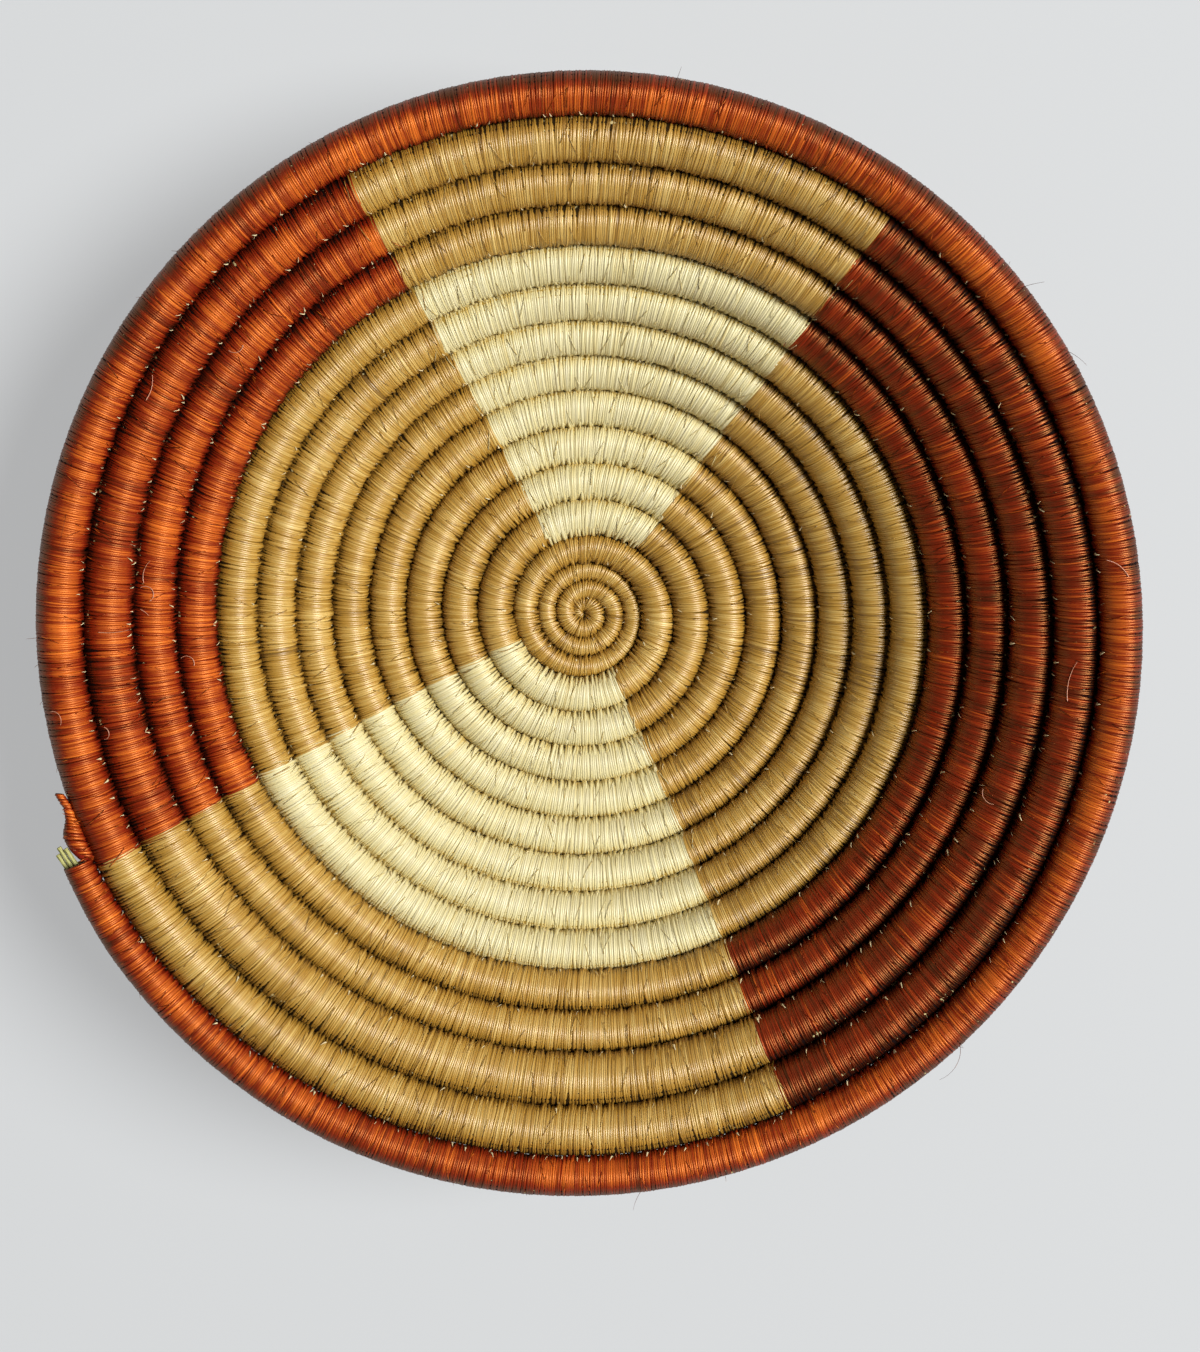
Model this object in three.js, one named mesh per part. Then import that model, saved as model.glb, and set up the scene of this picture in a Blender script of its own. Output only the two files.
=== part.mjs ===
// Shallow round coiled bowl: one long grass bundle wound in a spiral from the centre to the rim,
// covered along its whole length by lashings of dyed sisal, one after another.
// Millimetres, +Z up. The bowl stands on its flat base at z = 0, with its outline centred on the origin.
// Angles run clockwise from +Y as the bowl is seen from above, which is the way the coil was wound.

import * as THREE from 'three';

// The coil, counted in turns: turn 0 points along +Y, and the coil starts before it.
const FIRST_TURN = -0.75;
const START_RADIUS = 3.5;
const START_DRIFT_SHARE = 0.6;
const START_DRIFT_TURN = 0.9;

// Thickness of the wrapped coil at the centre, on the base, high on the wall and at the rim.
const CENTRE_COIL = 4.7;
const BASE_COIL = 9.4;
const WALL_COIL = 11.7;
const RIM_COIL = 10.0;
const THICKENS_FROM_TURN = 1.1;
const THICKENS_UNTIL_TURN = 2.7;
const THICKEST_TURN = 13.0;
const RIM_FROM_TURN = 13.75;

// The swelling that two neighbouring rows share, where the grass bundle is packed fuller.
const SWELLING = 2.5;
const SWELLING_TURNS = [12.55, 13.55];
const SWELLING_HALF_TURN = 0.38;

// The coil thins towards its end: first inside the rim lashing, then inside the last one.
const TAPERED_COIL = 8.6;
const CUT_COIL = 7.2;
const THINS_FROM_TURN = 14.57;
const RIM_LASHING_END_TURN = 14.655;
const TAIL_LENGTH = 24;

// The underside of the bowl in section: flat, then a round bend, then a straight wall.
const FLAT_BASE_RADIUS = 46;
const BEND_RADIUS = 60;
const WALL_SLOPE_DEG = 31;

// The sisal lashing and the grass bundle inside it.
const WRAP_WALL = 1.0;
const CORE_CLEARANCE = 0.3;
const ROW_GAP = 0.7;
const LASHING_GAP = 0.3;

// The cut stems at the end of the coil, and the loose twist of sisal that runs on along the rim.
const TWIST_LENGTH = 19;
const TWIST_START = 3.0;
const TWIST_BULGE = 5.0;
const TWIST_TIP = 1.3;
const TWIST_BULGE_SHARE = 0.625;
const TWIST_THINS_BETWEEN = [0.3, 0.9];
const TWIST_LIFT = 1.6;
const TWIST_LIFTS_BETWEEN = [0.6, 1];
const TWIST_STEPS = 10;
const STEM_DIAMETER = 1.3;
const STEM_LENGTHS = [5.4, 6.4, 4.6];
const STEM_STEP_OUT = 1.1;
const STEM_STEP_DOWN = 1.25;
const STEM_OFFSET = 1.7;
const STEM_LEAN_DEG = 14;

// The facets of the model.
const WRAP_SIDES = 8;
const CORE_SIDES = 6;

// The four colour sectors of the pattern. Each has the angle where it begins, how much further round
// it begins in the first patterned ring, and its steps. The difference dies away from ring to ring.
const SECTORS = {
  right: { from: 35.6, drift: 8.0, steps: 8 },
  bottom: { from: 156.0, drift: -3.0, steps: 6 },
  left: { from: 243.9, drift: 4.5, steps: 6 },
  top: { from: 333.5, drift: 2.0, steps: 4 },
};
const SECTOR_ORDER = ['right', 'bottom', 'left', 'top'];
const FIRST_PATTERNED_RING = 2;
const TURN_DEG = 360;

const FINISHES = {
  cream: { color: 0xe6dfa9, roughness: 0.8 },
  tan: { color: 0xc59f60, roughness: 0.78 },
  rust: { color: 0xa14a1e, roughness: 0.75 },
  grass: { color: 0xd3c088, roughness: 0.9 },
};

// The lashings in the order in which the coil meets them, after the one round the centre.
const CREAM_RING_TURNS = 7;
const RUST_RING_TURNS = 3;
const LASHINGS = [
  ...Array.from({ length: CREAM_RING_TURNS }, () => [
    ['bottom', 'cream'], ['left', 'tan'], ['top', 'cream'], ['right', 'tan'],
  ]).flat(),
  ['bottom', 'cream'], ['left', 'tan'], ['top', 'cream'], ['right', 'rust'],
  ...Array.from({ length: RUST_RING_TURNS }, () => [
    ['bottom', 'tan'], ['left', 'rust'], ['top', 'tan'], ['right', 'rust'],
  ]).flat(),
  ['bottom', 'tan'],
];

const radians = THREE.MathUtils.degToRad;
const share = (value, low, high) => THREE.MathUtils.clamp((value - low) / (high - low), 0, 1);

// Half the width of one octagon face that looks at the next row, for a coil of thickness 1.
const FACE_HALF_WIDTH = Math.tan(Math.PI / WRAP_SIDES) / 2;

function bendEnd() {
  return FLAT_BASE_RADIUS + BEND_RADIUS * radians(WALL_SLOPE_DEG);
}

// The slope, radius and height of the bowl's underside at a distance along its section.
function undersideSlope(distance) {
  return THREE.MathUtils.clamp((distance - FLAT_BASE_RADIUS) / BEND_RADIUS, 0, radians(WALL_SLOPE_DEG));
}

function undersidePoint(distance) {
  const slope = undersideSlope(distance);
  const beyond = Math.max(0, distance - bendEnd());
  return {
    radius: Math.min(distance, FLAT_BASE_RADIUS) + BEND_RADIUS * Math.sin(slope) + beyond * Math.cos(slope),
    height: BEND_RADIUS * (1 - Math.cos(slope)) + beyond * Math.sin(slope),
  };
}

// The thickness of the wrapped coil at a turn, before its end tapers.
function fullThickness(turn) {
  const onBase = THREE.MathUtils.smoothstep(turn, THICKENS_FROM_TURN, THICKENS_UNTIL_TURN);
  const onWall = share(turn, THICKENS_UNTIL_TURN, THICKEST_TURN);
  const onRim = THREE.MathUtils.smoothstep(turn, THICKEST_TURN, RIM_FROM_TURN);
  const swollen = SWELLING_TURNS.reduce((sum, at) => {
    const away = Math.min(1, Math.abs(turn - at) / SWELLING_HALF_TURN);
    return sum + SWELLING * Math.cos((Math.PI * away) / 2) ** 2;
  }, 0);
  return CENTRE_COIL + (BASE_COIL - CENTRE_COIL) * onBase + (WALL_COIL - BASE_COIL) * onWall
    + (RIM_COIL - WALL_COIL) * onRim + swollen;
}

// What two neighbouring rows need between their middles, where the section may bend inward.
function rowSpacing(inner, outer, innerDistance) {
  const thickness = (inner + outer) / 2;
  const bending = undersideSlope(innerDistance + thickness) - undersideSlope(innerDistance);
  return thickness + ROW_GAP + thickness * (0.5 + FACE_HALF_WIDTH) * bending;
}

// The share of the first turn's outward step that the coil has made, unevenly round the turn.
function startShape(turned) {
  const swing = (at) => Math.sin(2 * Math.PI * (at - START_DRIFT_TURN));
  return turned + (START_DRIFT_SHARE / (2 * Math.PI)) * (swing(turned) - swing(0));
}

// The distance along the section at which the coil lies at a turn, resting on the turn inside it.
function coilDistance(turn, thickness = fullThickness) {
  const turned = turn - FIRST_TURN;
  if (turned < 1) {
    const step = rowSpacing(fullThickness(FIRST_TURN), fullThickness(FIRST_TURN + 1), START_RADIUS);
    return START_RADIUS + step * startShape(turned);
  }
  const inner = coilDistance(turn - 1);
  return inner + rowSpacing(fullThickness(turn - 1), thickness(turn), inner);
}

// The frame of the coil's cross-section at a turn: its middle, and the wall's outward and upward directions.
function sectionFrame(turn, thickness = fullThickness) {
  const distance = coilDistance(turn, thickness);
  const slope = undersideSlope(distance);
  const foot = undersidePoint(distance);
  const angle = 2 * Math.PI * turn;
  const place = (radial, up) => new THREE.Vector3(radial * Math.sin(angle), radial * Math.cos(angle), up);
  const outward = place(Math.cos(slope), Math.sin(slope));
  const normal = place(-Math.sin(slope), Math.cos(slope));
  const middle = place(foot.radius, foot.height).addScaledVector(normal, thickness(turn) / 2);
  return { middle, outward, normal, along: new THREE.Vector3(Math.cos(angle), -Math.sin(angle), 0) };
}

// A regular polygon in a frame, first corner half a side round from the outward direction or on it.
function polygonRing(frame, circumradius, sides, cornerOutward) {
  return Array.from({ length: sides }, (_, corner) => {
    const angle = (2 * Math.PI * (corner + (cornerOutward ? 0 : 0.5))) / sides;
    return frame.middle.clone()
      .addScaledVector(frame.outward, circumradius * Math.cos(angle))
      .addScaledVector(frame.normal, circumradius * Math.sin(angle));
  });
}

const wrapCircumradius = (thickness) => thickness / 2 / Math.cos(Math.PI / WRAP_SIDES);
const boreCircumradius = (thickness) => thickness / 2 - WRAP_WALL;
const coreClearance = CORE_CLEARANCE / Math.cos(Math.PI / CORE_SIDES);
const coreCircumradius = (thickness) => boreCircumradius(thickness) - coreClearance;

// The lashing's outside never dips below the flat that the bowl stands on.
function wrapRing(turn, thickness) {
  const circumradius = wrapCircumradius(thickness(turn));
  const ring = polygonRing(sectionFrame(turn, thickness), circumradius, WRAP_SIDES, false);
  ring.forEach((point) => point.setZ(Math.max(0, point.z)));
  return ring;
}

function boreRing(turn, thickness) {
  return polygonRing(sectionFrame(turn, thickness), boreCircumradius(thickness(turn)), CORE_SIDES, true);
}

function coreRing(turn, thickness) {
  return polygonRing(sectionFrame(turn, thickness), coreCircumradius(thickness(turn)), CORE_SIDES, true);
}

// Collects rings and faces into one closed geometry.
class Skin {
  constructor() {
    this.positions = [];
    this.faces = [];
  }

  addRing(points) {
    const first = this.positions.length / 3;
    points.forEach((point) => this.positions.push(point.x, point.y, point.z));
    return points.map((_, index) => first + index);
  }

  // Joins two rings of one size by quads whose faces look away from the rings' middle, or towards it.
  bridge(ringA, ringB, facingOut) {
    ringA.forEach((cornerA, index) => {
      const next = (index + 1) % ringA.length;
      const quad = [cornerA, ringA[next], ringB[next], ringB[index]];
      if (!facingOut) quad.reverse();
      this.faces.push(quad[0], quad[1], quad[2], quad[0], quad[2], quad[3]);
    });
  }

  // Closes an end with a flat face, which has a hole where an inner ring is given.
  cap(frame, outerRing, innerRing, facingForward) {
    const flat = (vertex) => {
      const point = new THREE.Vector3().fromArray(this.positions, vertex * 3).sub(frame.middle);
      return new THREE.Vector2(point.dot(frame.outward), point.dot(frame.normal));
    };
    const holes = innerRing ? [innerRing.map(flat)] : [];
    const vertices = innerRing ? [...outerRing, ...innerRing] : outerRing;
    THREE.ShapeUtils.triangulateShape(outerRing.map(flat), holes).forEach((triangle) => {
      const [a, b, c] = triangle.map((index) => vertices[index]);
      const points = [a, b, c].map(flat);
      const turnsLeft = points[1].clone().sub(points[0]).cross(points[2].clone().sub(points[0])) > 0;
      this.faces.push(a, ...(turnsLeft === facingForward ? [b, c] : [c, b]));
    });
  }

  geometry() {
    const geometry = new THREE.BufferGeometry();
    geometry.setAttribute('position', new THREE.Float32BufferAttribute(this.positions, 3));
    geometry.setIndex(this.faces);
    geometry.computeVertexNormals();
    return geometry;
  }
}

// The turn at which a sector begins in a ring, and the turn at which the next one does.
function sectorStart(name, ring) {
  const ringsOut = Math.max(ring, FIRST_PATTERNED_RING) - FIRST_PATTERNED_RING + 1;
  return ring + (SECTORS[name].from + SECTORS[name].drift / ringsOut) / TURN_DEG;
}

function sectorEnd(name, ring) {
  const next = (SECTOR_ORDER.indexOf(name) + 1) % SECTOR_ORDER.length;
  return sectorStart(SECTOR_ORDER[next], next === 0 ? ring + 1 : ring);
}

// The planes in which every row has a section, between two turns, so that neighbours stay parallel.
function planesBetween(from, to) {
  const planes = [];
  for (let ring = Math.floor(from) - 1; ring <= to; ring += 1) {
    SECTOR_ORDER.forEach((name) => {
      const start = sectorStart(name, ring);
      const end = sectorEnd(name, ring);
      for (let step = 0; step < SECTORS[name].steps; step += 1) {
        planes.push(THREE.MathUtils.lerp(start, end, step / SECTORS[name].steps));
      }
    });
  }
  return planes.filter((plane) => plane > from && plane < to);
}

// The turn that lies a given distance further along the inner side of the coil.
function turnFurther(turn, length) {
  const frame = sectionFrame(turn);
  const innerSide = Math.hypot(frame.middle.x, frame.middle.y) - fullThickness(turn) / 2;
  return turn + length / (2 * Math.PI * innerSide);
}

// A closed tube of lashing with its bore open at both ends.
function lashingGeometry(from, to, thickness = fullThickness) {
  const skin = new Skin();
  const turns = taperedTurns(from, to);
  const outer = turns.map((turn) => skin.addRing(wrapRing(turn, thickness)));
  const inner = turns.map((turn) => skin.addRing(boreRing(turn, thickness)));
  for (let index = 0; index + 1 < turns.length; index += 1) {
    skin.bridge(outer[index], outer[index + 1], true);
    skin.bridge(inner[index], inner[index + 1], false);
  }
  skin.cap(sectionFrame(from, thickness), outer[0], inner[0], false);
  skin.cap(sectionFrame(to, thickness), outer.at(-1), inner.at(-1), true);
  return skin.geometry();
}

// A closed solid through rings of one size.
function solidGeometry(rings, frames) {
  const skin = new Skin();
  const corners = rings.map((ring) => skin.addRing(ring));
  for (let index = 0; index + 1 < corners.length; index += 1) {
    skin.bridge(corners[index], corners[index + 1], true);
  }
  skin.cap(frames[0], corners[0], null, false);
  skin.cap(frames.at(-1), corners.at(-1), null, true);
  return skin.geometry();
}

const bowl = new THREE.Group();

function addPiece(name, geometry, finish) {
  const material = new THREE.MeshStandardMaterial({ ...FINISHES[finish], metalness: 0 });
  const mesh = new THREE.Mesh(geometry, material);
  mesh.name = name;
  bowl.add(mesh);
  return mesh;
}

// The coil thins evenly to the end of the rim lashing, and again to its cut end.
const tailTo = turnFurther(RIM_LASHING_END_TURN, TAIL_LENGTH);

function taperedThickness(turn) {
  const inRim = share(turn, THINS_FROM_TURN, RIM_LASHING_END_TURN);
  const inTail = share(turn, RIM_LASHING_END_TURN, tailTo);
  const full = fullThickness(turn);
  return full + (TAPERED_COIL - full) * inRim + (CUT_COIL - TAPERED_COIL) * inTail;
}

// The turns where the coil has a section, from one turn to another, with the places where it thins.
function taperedTurns(from, to) {
  const marks = [THINS_FROM_TURN, RIM_LASHING_END_TURN].filter((turn) => turn > from && turn < to);
  return [from, ...marks, ...planesBetween(from, to), to].sort((a, b) => a - b);
}

// The grass bundle, unbroken from the centre to its cut end, a little short of the lashing there.
const coreFrom = turnFurther(FIRST_TURN, LASHING_GAP);
const coreTurns = taperedTurns(coreFrom, tailTo);
const coreFrames = coreTurns.map((turn) => sectionFrame(turn, taperedThickness));
const coreRings = coreTurns.map((turn) => coreRing(turn, taperedThickness));
addPiece('grass_core', solidGeometry(coreRings, coreFrames), 'grass');

// The lashings, one after another along the coil.
let reached = sectorStart('bottom', FIRST_PATTERNED_RING);
addPiece('centre_tan_wrap', lashingGeometry(FIRST_TURN, turnFurther(reached, -LASHING_GAP / 2)), 'tan');

const counts = {};
LASHINGS.forEach(([sector, colour]) => {
  const end = sectorEnd(sector, Math.round(reached - SECTORS[sector].from / TURN_DEG));
  const kind = `${sector}_${colour}_wrap`;
  counts[kind] = (counts[kind] ?? 0) + 1;
  const geometry = lashingGeometry(turnFurther(reached, LASHING_GAP / 2), turnFurther(end, -LASHING_GAP / 2));
  addPiece(`${kind}_${counts[kind]}`, geometry, colour);
  reached = end;
});

const rimFrom = turnFurther(reached, LASHING_GAP / 2);
addPiece('rim_rust_wrap', lashingGeometry(rimFrom, RIM_LASHING_END_TURN, taperedThickness), 'rust');
const tailFrom = turnFurther(RIM_LASHING_END_TURN, LASHING_GAP);
addPiece('tail_rust_wrap', lashingGeometry(tailFrom, tailTo, taperedThickness), 'rust');

// The loose twist of sisal that runs on from the cut end. It lies against the side of the row inside it,
// its middle as high as that row's, and lifts off towards its tip.
const twistFrom = turnFurther(tailTo, LASHING_GAP);
const twistTo = turnFurther(twistFrom, TWIST_LENGTH);

function twistThickness(turn) {
  const along = share(turn, twistFrom, twistTo);
  const swollen = Math.sin(Math.PI * Math.min(1, along / TWIST_BULGE_SHARE)) ** 2;
  const thinned = THREE.MathUtils.smoothstep(along, ...TWIST_THINS_BETWEEN);
  return TWIST_START + (TWIST_BULGE - TWIST_START) * swollen - (TWIST_START - TWIST_TIP) * thinned;
}

const twistTurns = Array.from({ length: TWIST_STEPS + 1 }, (_, step) =>
  THREE.MathUtils.lerp(twistFrom, twistTo, step / TWIST_STEPS));
const twistFrames = twistTurns.map((turn) => {
  const frame = sectionFrame(turn, twistThickness);
  const lifted = THREE.MathUtils.smoothstep(share(turn, twistFrom, twistTo), ...TWIST_LIFTS_BETWEEN);
  const raised = (fullThickness(turn - 1) - twistThickness(turn)) / 2;
  frame.middle.addScaledVector(frame.outward, LASHING_GAP - ROW_GAP + TWIST_LIFT * lifted);
  frame.middle.addScaledVector(frame.normal, raised);
  return frame;
});
const twistRings = twistTurns.map((turn, index) =>
  polygonRing(twistFrames[index], twistThickness(turn) / 2, CORE_SIDES, true));
addPiece('sisal_twist_end', solidGeometry(twistRings, twistFrames), 'rust');

// The cut stems of the grass bundle, standing out of the end of the tapered lashing.
const cutEnd = sectionFrame(turnFurther(tailTo, CORE_CLEARANCE), taperedThickness);
STEM_LENGTHS.forEach((length, index) => {
  const stem = new THREE.CylinderGeometry(STEM_DIAMETER / 2, STEM_DIAMETER / 2, length, CORE_SIDES);
  stem.translate(0, length / 2, 0);
  const leaning = cutEnd.along.clone().applyAxisAngle(cutEnd.normal, radians(STEM_LEAN_DEG));
  const mesh = addPiece(`cut_grass_stem_${index + 1}`, stem, 'grass');
  mesh.quaternion.setFromUnitVectors(new THREE.Vector3(0, 1, 0), leaning);
  const step = index - (STEM_LENGTHS.length - 1) / 2;
  mesh.position.copy(cutEnd.middle)
    .addScaledVector(cutEnd.outward, STEM_OFFSET + step * STEM_STEP_OUT)
    .addScaledVector(cutEnd.normal, -step * STEM_STEP_DOWN)
    .addScaledVector(cutEnd.along, (STEM_DIAMETER / 2) * Math.sin(radians(STEM_LEAN_DEG)));
});

// The bowl's outline is centred on the origin.
bowl.updateMatrixWorld(true);
const outline = new THREE.Box3().setFromObject(bowl);
const centre = outline.getCenter(new THREE.Vector3());
bowl.position.set(-centre.x, -centre.y, -outline.min.z);
bowl.updateMatrixWorld(true);

// The least gap of a winding to itself, measured between the corners of turns that lie side by side.
function leastGapToItself(rings, turns) {
  let least = Infinity;
  rings.forEach((ring, index) => {
    rings.forEach((other, otherIndex) => {
      const apart = turns[otherIndex] - turns[index];
      if (apart < 0.5 || apart > 1.5) return;
      ring.forEach((point) => other.forEach((facing) => {
        least = Math.min(least, point.distanceTo(facing));
      }));
    });
  });
  return least;
}

const wrapTurns = taperedTurns(FIRST_TURN, RIM_LASHING_END_TURN);
const wrapRings = wrapTurns.map((turn) => wrapRing(turn, taperedThickness));
const coreGap = leastGapToItself(coreRings, coreTurns);
const wrapGap = leastGapToItself(wrapRings, wrapTurns);
const sides = outline.getSize(new THREE.Vector3()).toArray().map((side) => side.toFixed(1));
console.log(`least gap of the grass bundle to itself: ${coreGap.toFixed(2)} mm`);
console.log(`least gap of the wrapped coil to itself: ${wrapGap.toFixed(2)} mm`);
console.log(`size: ${sides.join(' x ')} mm, ${bowl.children.length} pieces`);

export default bowl;
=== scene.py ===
"""A shallow coiled bowl of grass lashed with dyed sisal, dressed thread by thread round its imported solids."""

import logging
import math
from dataclasses import dataclass, field
from enum import Enum
from typing import Any, Iterator, Optional

import bmesh
import bpy
import numpy as np
from bpy.types import Material, Mesh, Node, NodeSocket, NodeTree
from mathutils import Euler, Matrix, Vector


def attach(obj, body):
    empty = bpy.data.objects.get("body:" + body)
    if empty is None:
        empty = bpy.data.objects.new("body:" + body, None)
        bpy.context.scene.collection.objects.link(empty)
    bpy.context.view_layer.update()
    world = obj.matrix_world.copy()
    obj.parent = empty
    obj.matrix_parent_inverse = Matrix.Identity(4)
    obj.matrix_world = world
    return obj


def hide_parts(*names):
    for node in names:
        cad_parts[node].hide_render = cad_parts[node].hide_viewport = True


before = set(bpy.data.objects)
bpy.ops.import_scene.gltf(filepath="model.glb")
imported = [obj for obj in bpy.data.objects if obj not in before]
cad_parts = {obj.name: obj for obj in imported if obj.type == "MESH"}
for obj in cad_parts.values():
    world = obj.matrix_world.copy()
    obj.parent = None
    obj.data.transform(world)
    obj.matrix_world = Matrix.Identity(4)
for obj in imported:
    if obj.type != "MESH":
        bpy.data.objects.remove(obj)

log = logging.getLogger("bowl")

MM = 0.001
BODY = "root"
GRASS_SLOT = "cut_grass"
IMAGE_WIDTH, IMAGE_HEIGHT = 1200, 1352
SENSOR_MM = 36.0

# A lower limit, in metres, that no point of the bowl comes near.
UNLIMITED = -1.0

# Where a thread's loop round the coil begins, from the coil's outer side.
LOOP_STARTS = math.radians(-20)

# Most of a noise texture's values lie between these.
NOISE_LOW, NOISE_HIGH = 0.3, 0.7

# A wrap's tone times these gives it its own part of the noise.
NOISE_STEPS = (91.0, 37.0, 53.0)

Colour = tuple[float, float, float, float]
Triple = tuple[float, float, float]


def linear(hex_code: str) -> Colour:
    """Turns an sRGB hex colour into a linear one.

    Args:
        hex_code: six hex digits after a #.

    Returns:
        Red, green, blue and an alpha of 1.
    """
    parts = [int(hex_code[at:at + 2], 16) / 255 for at in (1, 3, 5)]
    values = [part / 12.92 if part <= 0.04045 else ((part + 0.055) / 1.055) ** 2.4 for part in parts]
    return (*values, 1.0)


def add_node(tree: NodeTree, kind: str, inputs: Optional[dict] = None, **settings: Any) -> Node:
    """Adds a node to a tree, with its settings, values and links.

    Args:
        tree: the shader or geometry tree.
        kind: the node's type name.
        inputs: a value or an output socket for each input, by name or number.
        **settings: the node's own properties.

    Returns:
        The new node.
    """
    node = tree.nodes.new(kind)
    for name, value in settings.items():
        setattr(node, name, value)
    for key, value in (inputs or {}).items():
        if isinstance(value, NodeSocket):
            tree.links.new(value, node.inputs[key])
        else:
            node.inputs[key].default_value = value
    return node


def new_material(name: str) -> Material:
    """Makes an empty node material."""
    made = bpy.data.materials.new(name)
    made.use_nodes = True
    made.node_tree.nodes.clear()
    return made


class Dye(Enum):
    """The three dye lots of sisal, by the record's material slot."""

    CREAM = "cream_sisal"
    TAN = "tan_sisal"
    RUST = "rust_sisal"


@dataclass(frozen=True)
class SisalFinish:
    """Dyed sisal: hard leaf fibre rolled into thread, which gives fine streaks and a silky, tinted gloss."""

    name: str
    pale: str
    mid: str
    deep: str
    # painted shade: a darkened colour for the lower wraps, which stands in for the shade between the threads
    painted_gap_shade: str
    gloss_tint: str
    patchiness: float = 0.4
    streaks: float = 0.2
    fibre_count: float = 3.0
    fibres_round: float = 1.6
    deep_at: float = 0.05
    pale_at: float = 0.95
    # painted light and shade: these raise the tone on the coil's crest and lower it on the sides and in the
    # grooves
    painted_crest_contrast: float = 0.1
    painted_crest_begins: float = 0.3
    painted_shade_light_shares: tuple[float, float] = (-1.5, 0.5)
    relief: float = 0.3
    relief_depth: float = 0.1 * MM
    roughness: float = 0.5
    gloss: float = 1.0
    ior: float = 1.55
    peeking_grass: str = "#C4B37E"
    speck_size: float = 2.2 * MM
    specks_between: tuple[float, float] = (0.66, 0.71)
    lower_roughness: float = 0.8
    lower_gloss: float = 0.1

    def painted_crest_light_and_shade(self, tree: NodeTree, around: NodeSocket) -> NodeSocket:
        """Painted light and shade round the coil: the wrap's tone is raised most on the coil's crest and
        lowered on its sides and in the grooves.

        Args:
            tree: the material's tree.
            around: the share of the way round the coil, from the wrap's map.

        Returns:
            The amount to add to the wrap's tone.
        """
        turned = add_node(tree, "ShaderNodeMath", {
            0: around, 1: 2 * math.pi, 2: LOOP_STARTS,
        }, operation="MULTIPLY_ADD")
        height = add_node(tree, "ShaderNodeMath", {0: turned.outputs[0]}, operation="SINE").outputs[0]
        lowest, highest = (share * self.painted_crest_contrast for share in self.painted_shade_light_shares)
        return add_node(tree, "ShaderNodeMapRange", {
            "Value": height, "From Min": self.painted_crest_begins, "From Max": 1.0,
            "To Min": lowest, "To Max": highest,
        }, interpolation_type="SMOOTHSTEP").outputs[0]

    def thread(self) -> Material:
        """Builds the thread's material, which reads each wrap's own map and tone."""
        made = new_material(f"{self.name}_thread")
        tree = made.node_tree
        tone = add_node(tree, "ShaderNodeAttribute", attribute_name="thread_tone").outputs["Fac"]
        place = add_node(tree, "ShaderNodeTexCoord")
        around = add_node(tree, "ShaderNodeSeparateXYZ", {0: place.outputs["UV"]}).outputs[1]
        stretched = add_node(tree, "ShaderNodeMapping", {
            "Vector": place.outputs["UV"], "Scale": (self.fibre_count, self.fibres_round, 1.0),
        })
        own = add_node(tree, "ShaderNodeCombineXYZ", {at: tone for at in range(3)}).outputs[0]
        moved = add_node(tree, "ShaderNodeVectorMath", {0: own, 1: NOISE_STEPS}, operation="MULTIPLY")
        along = add_node(tree, "ShaderNodeVectorMath", {0: stretched.outputs[0], 1: moved.outputs[0]})
        fibres = add_node(tree, "ShaderNodeTexNoise", {
            "Vector": along.outputs[0], "Scale": 1.0, "Detail": 2.0, "Roughness": 0.55,
        })
        streaky = add_node(tree, "ShaderNodeMapRange", {
            "Value": fibres.outputs["Fac"], "From Min": NOISE_LOW, "From Max": NOISE_HIGH,
            "To Min": -self.streaks, "To Max": self.streaks,
        })
        patchy = add_node(tree, "ShaderNodeMapRange", {
            "Value": tone, "To Min": 0.5 - self.patchiness, "To Max": 0.5 + self.patchiness,
        }, clamp=False)
        level = patchy.outputs[0]
        # the tone is shifted by fine streaks, and by painted crest light and side shade
        for more in (streaky.outputs[0], self.painted_crest_light_and_shade(tree, around)):
            level = add_node(tree, "ShaderNodeMath", {0: level, 1: more}).outputs[0]
        ramp = add_node(tree, "ShaderNodeValToRGB", {"Fac": level})
        stops = ramp.color_ramp.elements
        stops[0].position, stops[0].color = self.deep_at, linear(self.deep)
        stops[1].position, stops[1].color = self.pale_at, linear(self.pale)
        stops.new(0.5).color = linear(self.mid)
        bump = add_node(tree, "ShaderNodeBump", {
            "Height": fibres.outputs["Fac"], "Strength": self.relief, "Distance": self.relief_depth,
        })
        shader = add_node(tree, "ShaderNodeBsdfPrincipled", {
            "Base Color": ramp.outputs["Color"], "Normal": bump.outputs["Normal"],
            "Roughness": self.roughness, "IOR": self.ior,
            "Specular IOR Level": self.gloss, "Specular Tint": linear(self.gloss_tint),
        })
        add_node(tree, "ShaderNodeOutputMaterial", {"Surface": shader.outputs["BSDF"]})
        return made

    def under_layer(self, colour: Optional[str] = None) -> Material:
        """Builds the material of the lower wraps, coloured dark as painted shade between the threads unless a
        colour is given, where a little of the pale grass peeks through.

        Args:
            colour: the lower wraps' colour, or None for the painted gap shade, a darkened colour that stands in
                for the shade between close wraps.

        Returns:
            The material.
        """
        made = new_material(f"{self.name}_{'open' if colour else 'lower'}_wraps")
        tree = made.node_tree
        place = add_node(tree, "ShaderNodeTexCoord")
        specks = add_node(tree, "ShaderNodeTexNoise", {
            "Vector": place.outputs["Object"], "Scale": 1 / self.speck_size, "Detail": 1.0,
        })
        ramp = add_node(tree, "ShaderNodeValToRGB", {"Fac": specks.outputs["Fac"]})
        # without a colour, the lower wraps take the painted gap shade
        colours = (colour or self.painted_gap_shade, self.peeking_grass)
        for stop, position, code in zip(ramp.color_ramp.elements, self.specks_between, colours):
            stop.position, stop.color = position, linear(code)
        shader = add_node(tree, "ShaderNodeBsdfPrincipled", {
            "Base Color": ramp.outputs["Color"], "Roughness": self.lower_roughness,
            "IOR": self.ior, "Specular IOR Level": self.lower_gloss,
        })
        add_node(tree, "ShaderNodeOutputMaterial", {"Surface": shader.outputs["BSDF"]})
        return made


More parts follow.
